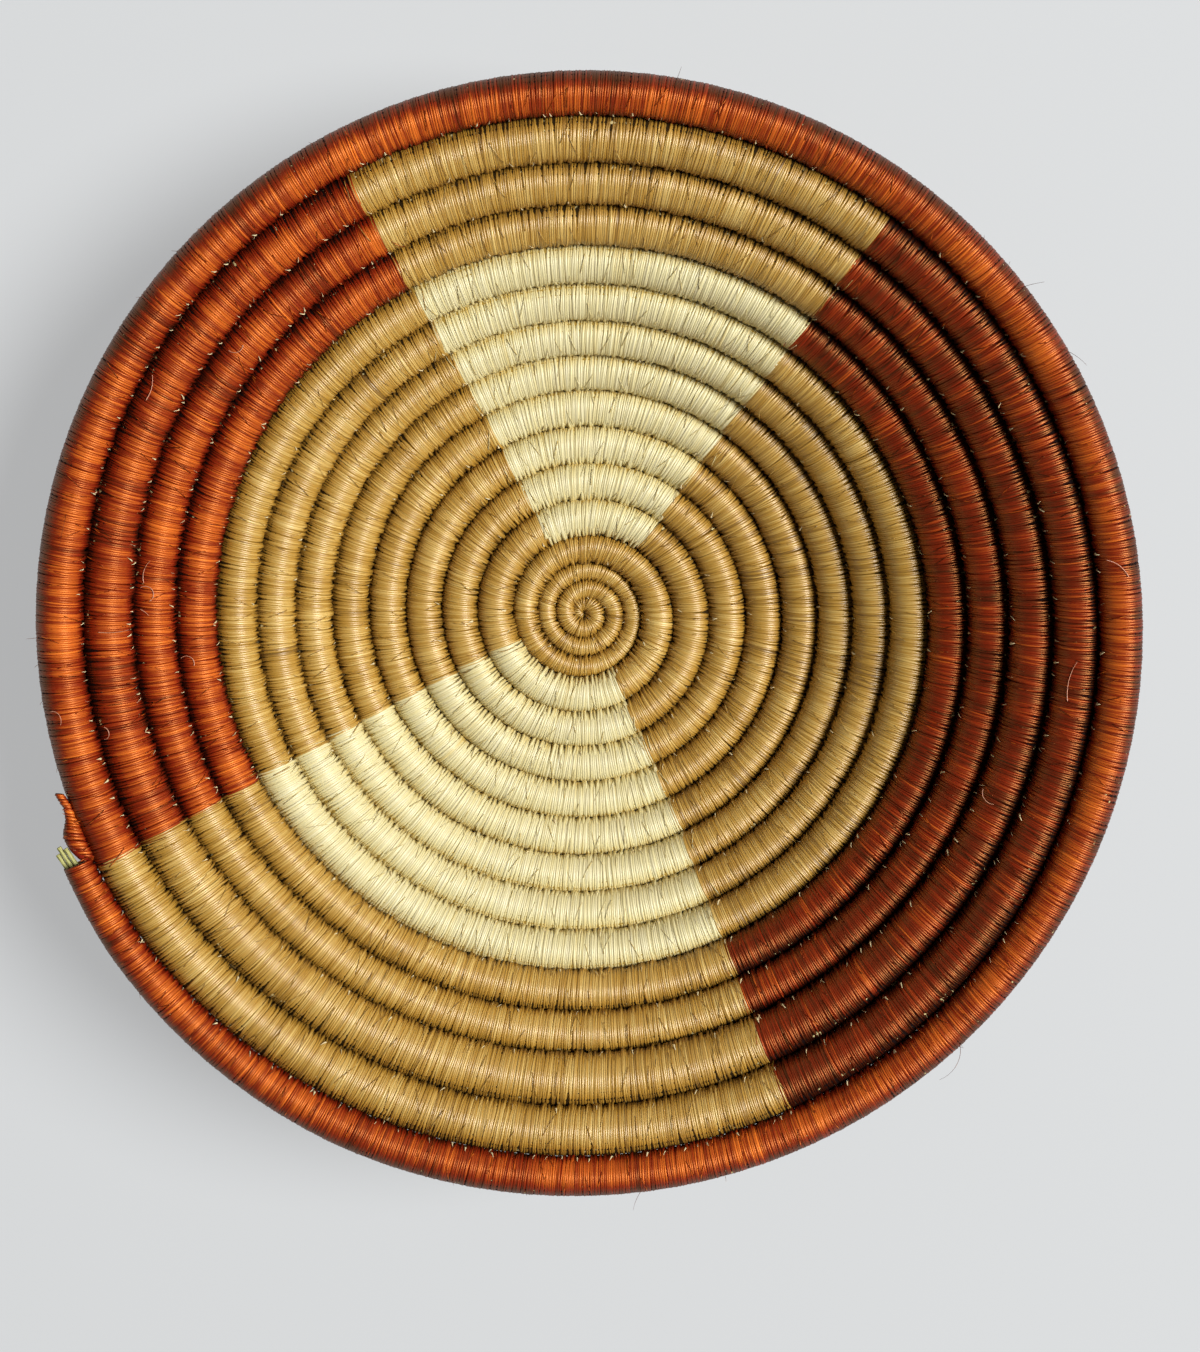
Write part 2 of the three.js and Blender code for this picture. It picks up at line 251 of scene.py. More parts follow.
@dataclass(frozen=True)
class GrassFinish:
    """Dry grass stems: smooth straw with fine lengthwise streaks, pale and a little green."""

    name: str = "dry_grass_stem"
    pale: str = "#BEBA72"
    deep: str = "#6E6C30"
    deep_at: float = 0.32
    pale_at: float = 0.58
    roughness: float = 0.6
    ior: float = 1.45
    girth_mm: float = 4.0
    streak_mm: float = 0.35
    streaks_along: float = 1.5

    def material(self) -> Material:
        """Builds the straw material, streaked along each stem's own map."""
        made = new_material(self.name)
        tree = made.node_tree
        place = add_node(tree, "ShaderNodeTexCoord")
        stretched = add_node(tree, "ShaderNodeMapping", {
            "Vector": place.outputs["UV"], "Scale": (self.girth_mm / self.streak_mm, self.streaks_along, 1.0),
        })
        streaks = add_node(tree, "ShaderNodeTexNoise", {
            "Vector": stretched.outputs[0], "Scale": 1.0, "Detail": 2.0, "Roughness": 0.6,
        })
        ramp = add_node(tree, "ShaderNodeValToRGB", {"Fac": streaks.outputs["Fac"]})
        stops = ramp.color_ramp.elements
        stops[0].position, stops[0].color = self.deep_at, linear(self.deep)
        stops[1].position, stops[1].color = self.pale_at, linear(self.pale)
        shader = add_node(tree, "ShaderNodeBsdfPrincipled", {
            "Base Color": ramp.outputs["Color"], "Roughness": self.roughness, "IOR": self.ior,
        })
        add_node(tree, "ShaderNodeOutputMaterial", {"Surface": shader.outputs["BSDF"]})
        return made


SISAL = {
    Dye.CREAM: SisalFinish(
        "cream_sisal", pale="#E0D8B4", mid="#DACE98", deep="#C6A750", painted_gap_shade="#A3873F", gloss_tint="#FFFFFF",
        patchiness=0.16, painted_crest_contrast=0.14, gloss=0.7, roughness=0.46),
    Dye.TAN: SisalFinish(
        "tan_sisal", pale="#E0C274", mid="#AE822A", deep="#4C2E06", painted_gap_shade="#271A04", gloss_tint="#FFF6E4",
        patchiness=0.3, painted_crest_contrast=0.14, roughness=0.42, ior=1.6),
    Dye.RUST: SisalFinish(
        "rust_sisal", pale="#E67626", mid="#821D08", deep="#240303", painted_gap_shade="#110100", gloss_tint="#FFA862",
        patchiness=0.42, painted_crest_contrast=0.24, roughness=0.42, ior=1.65),
}
HALF_DYED = SisalFinish(
    "half_dyed_sisal", pale="#ECC2A0", mid="#D89A78", deep="#B4704C", painted_gap_shade="#B4704C", gloss_tint="#FFFFFF")


def share_between(value: np.ndarray, low: float, high: float) -> np.ndarray:
    """The straight rise from 0 at low to 1 at high."""
    return np.clip((value - low) / (high - low), 0, 1)


def smoothstep(value: np.ndarray, low: float, high: float) -> np.ndarray:
    """The smooth rise from 0 at low to 1 at high."""
    share = share_between(value, low, high)
    return share * share * (3 - 2 * share)


@dataclass
class CoilPath:
    """The spiral that the coil follows, in millimetres and turns, exactly as the solids have it."""

    centre: tuple[float, float] = (-1.964, 4.568)
    first_turn: float = -0.75
    start_radius: float = 3.5
    start_drift_share: float = 0.6
    start_drift_turn: float = 0.9
    centre_coil: float = 4.7
    base_coil: float = 9.4
    wall_coil: float = 11.7
    rim_coil: float = 10.0
    thickens_from_turn: float = 1.1
    thickens_until_turn: float = 2.7
    thickest_turn: float = 13.0
    rim_from_turn: float = 13.75
    swelling: float = 2.5
    swelling_turns: tuple[float, float] = (12.55, 13.55)
    swelling_half_turn: float = 0.38
    tapered_coil: float = 8.6
    cut_coil: float = 7.2
    thins_from_turn: float = 14.57
    rim_lashing_end_turn: float = 14.655
    tail_length: float = 24.0
    flat_base_radius: float = 46.0
    bend_radius: float = 60.0
    wall_slope: float = math.radians(31)
    row_gap: float = 0.7
    face_half_width: float = math.tan(math.pi / 8) / 2

    def slope(self, distance: np.ndarray) -> np.ndarray:
        """The underside's slope at distances along the bowl's section."""
        return np.clip((distance - self.flat_base_radius) / self.bend_radius, 0, self.wall_slope)

    def full_thickness(self, turn: np.ndarray) -> np.ndarray:
        """The wrapped coil's thickness at turns, before its end tapers."""
        on_base = smoothstep(turn, self.thickens_from_turn, self.thickens_until_turn)
        on_wall = share_between(turn, self.thickens_until_turn, self.thickest_turn)
        on_rim = smoothstep(turn, self.thickest_turn, self.rim_from_turn)
        swollen = 0.0
        for at in self.swelling_turns:
            away = np.minimum(1, np.abs(turn - at) / self.swelling_half_turn)
            swollen = swollen + self.swelling * np.cos(math.pi * away / 2) ** 2
        grown = self.centre_coil + (self.base_coil - self.centre_coil) * on_base
        grown = grown + (self.wall_coil - self.base_coil) * on_wall
        return grown + (self.rim_coil - self.wall_coil) * on_rim + swollen

    def tapered_thickness(self, turn: np.ndarray) -> np.ndarray:
        """The wrapped coil's thickness at turns, with its thinning end."""
        in_rim = share_between(turn, self.thins_from_turn, self.rim_lashing_end_turn)
        in_tail = share_between(turn, self.rim_lashing_end_turn, self.tail_end())
        full = self.full_thickness(turn)
        return full + (self.tapered_coil - full) * in_rim + (self.cut_coil - self.tapered_coil) * in_tail

    def tail_end(self) -> float:
        """The turn at which the coil is cut."""
        return self.further(self.rim_lashing_end_turn, self.tail_length)

    def spacing(self, inner: np.ndarray, outer: np.ndarray, distance: np.ndarray) -> np.ndarray:
        """What two neighbouring rows need between their middles."""
        mean = (inner + outer) / 2
        bending = self.slope(distance + mean) - self.slope(distance)
        return mean + self.row_gap + mean * (0.5 + self.face_half_width) * bending

    def distance(self, turn: np.ndarray, thickness: np.ndarray) -> np.ndarray:
        """The distance along the section at turns, each row resting on the one inside it.

        Args:
            turn: the turns to place.
            thickness: the coil's thickness there.

        Returns:
            Distances in millimetres.
        """
        whole = np.maximum(0, np.floor(turn - self.first_turn + 1e-9)).astype(int)
        within = turn - whole
        turned = within - self.first_turn
        swing = np.sin(2 * np.pi * (turned - self.start_drift_turn))
        swing = swing + math.sin(2 * math.pi * self.start_drift_turn)
        ends = self.full_thickness(np.array([self.first_turn, self.first_turn + 1]))
        step = self.spacing(ends[0], ends[1], np.array(self.start_radius))
        reached = self.start_radius + step * (turned + self.start_drift_share / (2 * math.pi) * swing)
        for count in range(1, int(whole.max(initial=0)) + 1):
            inner, outer = self.full_thickness(within + count - 1), self.full_thickness(within + count)
            outer = np.where(whole == count, thickness, outer)
            reached = np.where(whole >= count, reached + self.spacing(inner, outer, reached), reached)
        return reached

    def sections(
        self, turn: np.ndarray, thickness: np.ndarray, lift: Any = 0.0, rise: Any = 0.0,
    ) -> dict[str, np.ndarray]:
        """The coil's cross-sections at turns, in metres.

        Args:
            turn: the turns to place.
            thickness: the coil's thickness there.
            lift: how far it stands off outwards.
            rise: how far it stands up off the bowl's underside.

        Returns:
            The middle, outward and upward vectors and the radius of each section.
        """
        along_section = self.distance(turn, thickness)
        slope = self.slope(along_section)
        beyond = np.maximum(0, along_section - self.flat_base_radius - self.bend_radius * self.wall_slope)
        radial = np.minimum(along_section, self.flat_base_radius) + self.bend_radius * np.sin(slope)
        radial = radial + beyond * np.cos(slope)
        height = self.bend_radius * (1 - np.cos(slope)) + beyond * np.sin(slope)
        sine, cosine = np.sin(2 * np.pi * turn), np.cos(2 * np.pi * turn)
        outward = np.stack([np.cos(slope) * sine, np.cos(slope) * cosine, np.sin(slope)], 1)
        upward = np.stack([-np.sin(slope) * sine, -np.sin(slope) * cosine, np.cos(slope)], 1)
        foot = np.stack([radial * sine + self.centre[0], radial * cosine + self.centre[1], height], 1)
        raised = np.broadcast_to(thickness / 2 + rise, turn.shape)
        middle = foot + upward * raised[:, None] + outward * np.broadcast_to(lift, turn.shape)[:, None]
        radius = thickness / 2 * MM
        return {"middle": middle * MM, "outward": outward, "upward": upward, "coil_radius": radius}

    def further(self, turn: float, length: float) -> float:
        """The turn that lies a length in millimetres further along the coil's inner side."""
        at = np.array([turn])
        thickness = self.full_thickness(at)
        middle = self.sections(at, thickness)["middle"][0, :2] / MM - np.array(self.centre)
        return turn + length / (2 * math.pi * (np.hypot(*middle) - thickness[0] / 2))


@dataclass(frozen=True)
class Lashing:
    """One length of sisal: its name, the solid it stands for, its dye and the turns that it covers."""

    name: str
    node: str
    dye: Dye
    start: float
    end: float


@dataclass
class Pattern:
    """The four colour sectors, which the coil crosses in every turn, and the lashings they give."""

    starts: dict[str, float] = field(default_factory=lambda: {
        "right": 35.6, "bottom": 156.0, "left": 243.9, "top": 333.5,
    })
    drifts: dict[str, float] = field(default_factory=lambda: {
        "right": 8.0, "bottom": -3.0, "left": 4.5, "top": 2.0,
    })
    first_ring: int = 2
    cream_rings: int = 7
    rust_rings: int = 3

    def boundary(self, sector: str, ring: int) -> float:
        """The turn at which a sector begins in a ring."""
        rings_out = max(ring, self.first_ring) - self.first_ring + 1
        return ring + (self.starts[sector] + self.drifts[sector] / rings_out) / 360

    def order(self) -> list[tuple[str, Dye]]:
        """The sectors and dyes in the order in which the coil meets them."""
        cream_ring = [("bottom", Dye.CREAM), ("left", Dye.TAN), ("top", Dye.CREAM), ("right", Dye.TAN)]
        rust_ring = [("bottom", Dye.TAN), ("left", Dye.RUST), ("top", Dye.TAN), ("right", Dye.RUST)]
        last_cream = cream_ring[:3] + [("right", Dye.RUST)]
        return cream_ring * self.cream_rings + last_cream + rust_ring * self.rust_rings + rust_ring[:1]

    def lashings(self, coil: CoilPath) -> Iterator[Lashing]:
        """Gives every lashing from the centre to the cut end.

        Args:
            coil: the path that they cover.

        Yields:
            The lashings, in order.
        """
        ring = self.first_ring
        reached = self.boundary("bottom", ring)
        yield Lashing("centre_tan_lashing", "centre_tan_wrap", Dye.TAN, coil.first_turn, reached)
        names = list(self.starts)
        counts: dict[str, int] = {}
        for sector, dye in self.order():
            following = names[(names.index(sector) + 1) % len(names)]
            ring += following == names[0]
            end = self.boundary(following, ring)
            kind = f"{sector}_{dye.name.lower()}"
            counts[kind] = counts.get(kind, 0) + 1
            yield Lashing(f"{kind}_lashing_{counts[kind]}", f"{kind}_wrap_{counts[kind]}", dye, reached, end)
            reached = end
        for place, end in (("rim", coil.rim_lashing_end_turn), ("tail", coil.tail_end())):
            yield Lashing(f"{place}_rust_lashing", f"{place}_rust_wrap", Dye.RUST, reached, end)
            reached = end


@dataclass
class FlatTube:
    """A closed three-sided tube, drawn flat: x across it, y round the coil in radians, z off the coil."""

    name: str
    corners: tuple[tuple[float, float], ...]
    angles: np.ndarray
    closed: bool
    crown: float = 0.0
    taper: float = 0.0

    def build(self) -> bpy.types.Object:
        """Makes the tube with its map, closed on itself or by a face at each end."""
        sides, steps = len(self.corners), len(self.angles) - 1
        rings = steps if self.closed else steps + 1
        shares = (self.angles - self.angles[0]) / (self.angles[-1] - self.angles[0])
        vertices = []
        for angle, share in zip(self.angles[:rings], shares):
            raised = self.crown * math.sin(math.pi * share)
            width = 1 - self.taper * (1 - share)
            vertices += [(across * width, angle, up + raised) for across, up in self.corners]
        faces = []
        for ring in range(steps):
            here, there = ring * sides, ((ring + 1) % rings) * sides
            for corner in range(sides):
                beside = (corner + 1) % sides
                faces.append((here + corner, there + corner, there + beside, here + beside))
        if not self.closed:
            faces.append(tuple(range(sides)))
            faces.append(tuple(reversed(range(steps * sides, rings * sides))))
        mesh = bpy.data.meshes.new(self.name)
        mesh.from_pydata(vertices, [], faces)
        layer = mesh.uv_layers.new(name="UVMap")
        for polygon in mesh.polygons:
            row = min(polygon.index // sides, steps)
            for loop_index in polygon.loop_indices:
                vertex = mesh.loops[loop_index].vertex_index
                ring = vertex // sides
                wrapped = steps if row == steps - 1 and ring == 0 else ring
                layer.data[loop_index].uv = (self.corners[vertex % sides][0] + 0.5, shares[wrapped])
        mesh.shade_smooth()
        return bpy.data.objects.new(self.name, mesh)


LOOSE_FIBRE = FlatTube(
    "loose_fibre", ((-0.09, 1.0), (0.0, 1.4), (0.09, 1.0)), np.linspace(0, 0.9, 10), closed=False, crown=0.7)
GRASS_SLIVER = FlatTube(
    "grass_sliver", ((-0.42, 1.2), (0.0, 2.4), (0.42, 1.2)), np.linspace(0.15, 0.5, 5), closed=False,
    crown=1.2, taper=0.9)


@dataclass(frozen=True)
class WrapKind:
    """One kind of wrap: the inputs it uses, and how far one wrap may differ from the next.

    The inputs are its spacing, its flat shape and its material. The differences are the lowest and highest
    values, three at a time, drawn from three seeds that begin with the first.
    """

    uses: tuple[str, str, str]
    first_seed: int
    width_height_tone: tuple[Triple, Triple]
    crest_inner_outer_shift: tuple[Triple, Triple]
    reach_lean_start: tuple[Triple, Triple]


WRAP_KINDS = (
    WrapKind(
        ("Sliver Spacing", "Sliver Shape", "Sliver Material"), 8,
        width_height_tone=((0.2, 0.2, 0.0), (1.4, 1.3, 0.0)),
        crest_inner_outer_shift=((-3.0, 0.0, 0.0), (3.0, 0.0, 0.0)),
        reach_lean_start=((0.0, -0.6, 1.9), (0.0, 0.6, 2.3))),
    WrapKind(
        ("Fibre Spacing", "Fibre Shape", "Thread Material"), 5,
        width_height_tone=((0.8, 0.8, 0.1), (1.3, 2.0, 0.45)),
        crest_inner_outer_shift=((-4.0, 0.0, 0.0), (4.0, 0.0, 0.0)),
        reach_lean_start=((0.0, -0.55, 0.2), (0.0, 0.55, 2.2))),
    WrapKind(
        ("Thread Spacing", "Thread Loop", "Thread Material"), 0,
        width_height_tone=((0.8, 0.5, -0.17), (1.3, 1.3, 0.17)),
        crest_inner_outer_shift=((-0.2, -0.65, -0.65), (0.2, 0.65, 0.65)),
        reach_lean_start=((-0.5, -0.045, -0.02), (1.0, 0.045, 0.02))),
)


def new_geometry_tree(name: str, inputs: dict[str, Any]) -> tuple[NodeTree, Any, NodeSocket]:
    """Makes a Geometry Nodes tree that takes chains of edges and turns them into curves.

    Args:
        name: the tree's name.
        inputs: each further input's starting value, or its socket's type where it has none.

    Returns:
        The tree, its inputs, and the curves.
    """
    tree = bpy.data.node_groups.new(name, "GeometryNodeTree")
    face = tree.interface
    face.new_socket("Geometry", in_out="INPUT", socket_type="NodeSocketGeometry")
    for label, value in inputs.items():
        if isinstance(value, float):
            face.new_socket(label, in_out="INPUT", socket_type="NodeSocketFloat").default_value = value
        else:
            face.new_socket(label, in_out="INPUT", socket_type=value)
    face.new_socket("Geometry", in_out="OUTPUT", socket_type="NodeSocketGeometry")
    given = add_node(tree, "NodeGroupInput").outputs
    curves = add_node(tree, "GeometryNodeMeshToCurve", {"Mesh": given["Geometry"]}).outputs["Curve"]
    return tree, given, curves


@dataclass
class LashingTree:
    """The Geometry Nodes tree that lashes a stretch of coil with separate wraps of thread."""

    spacing: float = 0.58 * MM
    width: float = 1.06 * MM
    height: float = 0.24 * MM
    proud: float = 0.32 * MM
    reach: float = 0.9 * MM
    slant: float = 0.04
    patch: float = 11.0 * MM
    fibre_spacing: float = 5.0 * MM
    sliver_spacing: float = 10.0 * MM
    under_proud: float = 0.34 * MM
    under_sides: int = 18
    wobble: float = 0.04 * MM
    wobble_scale: float = 220.0
    wobble_noise: tuple[float, float] = (0.25, 0.75)
    inner_pinch: float = 0.25
    outer_pinch: float = 0.4
    stitch_between: tuple[float, float] = (-0.62, -1.0)
    parted_between: tuple[float, float] = (0.62, 0.97)
    patch_tones: tuple[float, float] = (0.34, 0.66)
    lowest: float = 0.05 * MM

    def build(self) -> NodeTree:
        """Makes the tree, with a named input for each size."""
        tree, given, coil = new_geometry_tree("sisal_lashing", {
            "Thread Spacing": self.spacing, "Thread Width": self.width, "Thread Height": self.height,
            "Proud Of Coil": self.proud, "Stitch Reach": self.reach, "Slant": self.slant,
            "Dye Patch": self.patch, "Fibre Spacing": self.fibre_spacing,
            "Sliver Spacing": self.sliver_spacing,
            "Parted Outside": 1.0, "Hank Tone": 0.0, "Seed": "NodeSocketInt",
            "Thread Loop": "NodeSocketObject", "Fibre Shape": "NodeSocketObject",
            "Sliver Shape": "NodeSocketObject", "Thread Material": "NodeSocketMaterial",
            "Under Material": "NodeSocketMaterial", "Sliver Material": "NodeSocketMaterial",
        })
        joined = add_node(tree, "GeometryNodeJoinGeometry")
        layers = (self.wraps(tree, given, coil, kind) for kind in WRAP_KINDS)
        for layer in (self.under_layer(tree, given, coil), *layers):
            tree.links.new(layer, joined.inputs[0])
        add_node(tree, "NodeGroupOutput", {"Geometry": joined.outputs[0]})
        return tree

    def wraps(self, tree: NodeTree, given: Any, coil: NodeSocket, wrap: WrapKind) -> NodeSocket:
        """Places one kind of wrap along the coil and bends each one round it.

        Args:
            tree: the tree being built.
            given: its inputs.
            coil: the coil's middle line, with its section on each point.
            wrap: the kind of wrap.

        Returns:
            The wraps' geometry.
        """
        spacing, shape, material = (given[name] for name in wrap.uses)
        even = add_node(tree, "GeometryNodeResampleCurve", {"Curve": coil, "Length": spacing}, mode="LENGTH")
        points = add_node(tree, "GeometryNodeCurveToPoints", {
            "Curve": even.outputs[0],
        }, mode="EVALUATED").outputs[0]
        middle = add_node(tree, "GeometryNodeInputPosition").outputs[0]
        stored = {"wrap_middle": middle}
        ranges = (
            ("wrap_build", wrap.width_height_tone),
            ("wrap_shifts", wrap.crest_inner_outer_shift),
            ("wrap_play", wrap.reach_lean_start),
        )
        for number, (name, (low, high)) in enumerate(ranges, wrap.first_seed):
            seed = add_node(tree, "ShaderNodeMath", {0: given["Seed"], 1: float(number)}).outputs[0]
            stored[name] = add_node(tree, "FunctionNodeRandomValue", {
                0: low, 1: high, "Seed": seed,
            }, data_type="FLOAT_VECTOR").outputs[0]
        stored["thread_tone"] = self.tone(tree, given, stored["wrap_build"], middle)
        for name, value in stored.items():
            kind = "FLOAT" if name == "thread_tone" else "FLOAT_VECTOR"
            points = add_node(tree, "GeometryNodeStoreNamedAttribute", {
                "Geometry": points, "Name": name, "Value": value,
            }, data_type=kind, domain="POINT").outputs[0]
        flat_shape = add_node(tree, "GeometryNodeObjectInfo", {"Object": shape}).outputs["Geometry"]
        placed = add_node(tree, "GeometryNodeInstanceOnPoints", {"Points": points, "Instance": flat_shape})
        flat = add_node(tree, "GeometryNodeRealizeInstances", {0: placed.outputs[0]})
        bent = add_node(tree, "GeometryNodeSetPosition", {
            "Geometry": flat.outputs[0], "Position": self.bent_position(tree, given),
        }).outputs[0]
        return add_node(tree, "GeometryNodeSetMaterial", {"Geometry": bent, "Material": material}).outputs[0]

    def tone(self, tree: NodeTree, given: Any, build: Any, middle: Any) -> NodeSocket:
        """How pale each wrap is: neighbours come off the same hank, so patches of them share a tone, and each
        stretch adds its set tone, which on the right wall is painted shade.

        Args:
            tree: the tree being built.
            given: its inputs.
            build: the wraps' random numbers.
            middle: the wraps' places.

        Returns:
            The tone field, about 0 to 1.
        """
        scale = add_node(tree, "ShaderNodeMath", {0: 1.0, 1: given["Dye Patch"]}, operation="DIVIDE")
        patches = add_node(tree, "ShaderNodeTexNoise", {
            "Vector": middle, "Scale": scale.outputs[0], "Detail": 2.0, "Roughness": 0.6,
        }).outputs[0]
        low, high = self.patch_tones
        toned = add_node(tree, "ShaderNodeMapRange", {
            "Value": patches, "From Min": NOISE_LOW, "From Max": NOISE_HIGH, "To Min": low, "To Max": high,
        }).outputs[0]
        own = add_node(tree, "ShaderNodeSeparateXYZ", {0: build}).outputs[2]
        # the set tone of each stretch; on the right wall it is painted shade
        for more in (own, given["Hank Tone"]):
            toned = add_node(tree, "ShaderNodeMath", {0: toned, 1: more}).outputs[0]
        return toned

    def bent_position(self, tree: NodeTree, given: Any) -> NodeSocket:
        """Works out where a point of a flat wrap lies once the wrap is bent round the coil.

        Args:
            tree: the tree being built.
            given: its inputs.

        Returns:
            The position field.
        """
        known = {socket.name: socket for socket in given}
        vectors = ("wrap_middle", "wrap_build", "wrap_play", "wrap_shifts", "outward", "upward")
        for name in (*vectors, "coil_radius"):
            kind = "FLOAT_VECTOR" if name in vectors else "FLOAT"
            read = add_node(tree, "GeometryNodeInputNamedAttribute", {"Name": name}, data_type=kind)
            known[name] = read.outputs[0]
        middle, outward, upward = known["wrap_middle"], known["outward"], known["upward"]
        position = add_node(tree, "GeometryNodeInputPosition").outputs[0]
        local = add_node(tree, "ShaderNodeVectorMath", {0: position, 1: middle}, operation="SUBTRACT")
        for vector, names in (
            (local.outputs[0], ("across", "around", "raised")),
            (known["wrap_build"], ("wide", "high")),
            (known["wrap_play"], ("reaching", "lean", "start")),
            (known["wrap_shifts"], ("shift", "inner_shift", "outer_shift")),
        ):
            known.update(zip(names, add_node(tree, "ShaderNodeSeparateXYZ", {0: vector}).outputs))
        angle = add_node(tree, "ShaderNodeMath", {0: known["around"], 1: known["start"]}).outputs[0]
        for name in ("sine", "cosine"):
            known[name] = add_node(tree, "ShaderNodeMath", {0: angle}, operation=name.upper()).outputs[0]
        for name, (begins, ends), full in (
            ("inner_side", self.stitch_between, 1.0),
            ("outer_side", self.parted_between, given["Parted Outside"]),
        ):
            known[name] = add_node(tree, "ShaderNodeMapRange", {
                "Value": known["cosine"], "From Min": begins, "From Max": ends, "To Min": 0.0, "To Max": full,
            }, interpolation_type="SMOOTHSTEP").outputs[0]

        # Each sum has its name, its operation, and its two terms, by name or as numbers.
        for name, operation, *terms in (
            ("lift", "MULTIPLY", "raised", "Thread Height"),
            ("lift", "MULTIPLY", "lift", "high"),
            ("bed", "ADD", "coil_radius", "Proud Of Coil"),
            ("radius", "ADD", "bed", "lift"),
            ("reach", "MAXIMUM", "reaching", 0.0),
            ("reach", "MULTIPLY", "reach", "Stitch Reach"),
            ("reach", "MULTIPLY", "reach", "inner_side"),
            ("out", "MULTIPLY", "cosine", "radius"),
            ("out", "SUBTRACT", "out", "reach"),
            ("up", "MULTIPLY", "sine", "radius"),
            ("leaning", "ADD", "lean", "Slant"),
            ("leaning", "MULTIPLY", "leaning", "out"),
            ("inner_pinch", "MULTIPLY", "inner_side", self.inner_pinch),
            ("inner_width", "SUBTRACT", 1.0, "inner_pinch"),
            ("outer_pinch", "MULTIPLY", "outer_side", self.outer_pinch),
            ("outer_width", "SUBTRACT", 1.0, "outer_pinch"),
            ("side", "MULTIPLY", "across", "Thread Width"),
            ("side", "MULTIPLY", "side", "wide"),
            ("side", "MULTIPLY", "side", "inner_width"),
            ("side", "MULTIPLY", "side", "outer_width"),
            ("inner_shift", "MULTIPLY", "inner_side", "inner_shift"),
            ("outer_shift", "MULTIPLY", "outer_side", "outer_shift"),
            ("shift", "ADD", "shift", "inner_shift"),
            ("shift", "ADD", "shift", "outer_shift"),
            ("shift", "MULTIPLY", "shift", "Thread Spacing"),
        ):
            values = {at: known.get(term, term) for at, term in enumerate(terms)}
            known[name] = add_node(tree, "ShaderNodeMath", values, operation=operation).outputs[0]

        section = add_node(tree, "ShaderNodeCombineXYZ", {0: known["out"], 1: known["up"]}).outputs[0]
        own_place = add_node(tree, "ShaderNodeVectorMath", {0: section, 1: middle}).outputs[0]
        wander = add_node(tree, "ShaderNodeTexNoise", {
            "Vector": own_place, "Scale": self.wobble_scale, "Detail": 1.0,
        }).outputs[0]
        low, high = self.wobble_noise
        wander = add_node(tree, "ShaderNodeMapRange", {
            "Value": wander, "From Min": low, "From Max": high, "To Min": -self.wobble, "To Max": self.wobble,
        }).outputs[0]
        side = known["side"]
        for more in (known["leaning"], wander, known["shift"]):
            side = add_node(tree, "ShaderNodeMath", {0: side, 1: more}).outputs[0]

        along = add_node(tree, "ShaderNodeVectorMath", {0: outward, 1: upward}, operation="CROSS_PRODUCT")
        place = middle
        for direction, amount in ((outward, known["out"]), (upward, known["up"]), (along.outputs[0], side)):
            step = add_node(tree, "ShaderNodeVectorMath", {0: direction, "Scale": amount}, operation="SCALE")
            place = add_node(tree, "ShaderNodeVectorMath", {0: place, 1: step.outputs[0]}).outputs[0]
        return add_node(tree, "ShaderNodeVectorMath", {
            0: place, 1: (UNLIMITED, UNLIMITED, self.lowest),
        }, operation="MAXIMUM").outputs[0]

    def under_layer(self, tree: NodeTree, given: Any, coil: NodeSocket) -> NodeSocket:
        """The lower wraps, a closed tube that shows between the threads.

        Args:
            tree: the tree being built.
            given: its inputs.
            coil: the coil's middle line, with its section on each point.

        Returns:
            The tube's geometry.
        """
        ring = add_node(tree, "GeometryNodeCurvePrimitiveCircle", {
            "Resolution": self.under_sides, "Radius": 1.0,
        }).outputs[0]
        bare = add_node(tree, "GeometryNodeInputNamedAttribute", {"Name": "coil_radius"}, data_type="FLOAT")
        radius = add_node(tree, "ShaderNodeMath", {0: bare.outputs[0], 1: self.under_proud}).outputs[0]
        tube = add_node(tree, "GeometryNodeCurveToMesh", {
            "Curve": coil, "Profile Curve": ring, "Scale": radius, "Fill Caps": True,
        }).outputs[0]
        smooth = add_node(tree, "GeometryNodeSetShadeSmooth", {"Geometry": tube}).outputs[0]
        place = add_node(tree, "GeometryNodeInputPosition").outputs[0]
        floor = (UNLIMITED, UNLIMITED, 0.0)
        resting = add_node(tree, "ShaderNodeVectorMath", {0: place, 1: floor}, operation="MAXIMUM")
        flat = add_node(tree, "GeometryNodeSetPosition", {"Geometry": smooth, "Position": resting.outputs[0]})
        return add_node(tree, "GeometryNodeSetMaterial", {
            "Geometry": flat.outputs[0], "Material": given["Under Material"],
        }).outputs[0]


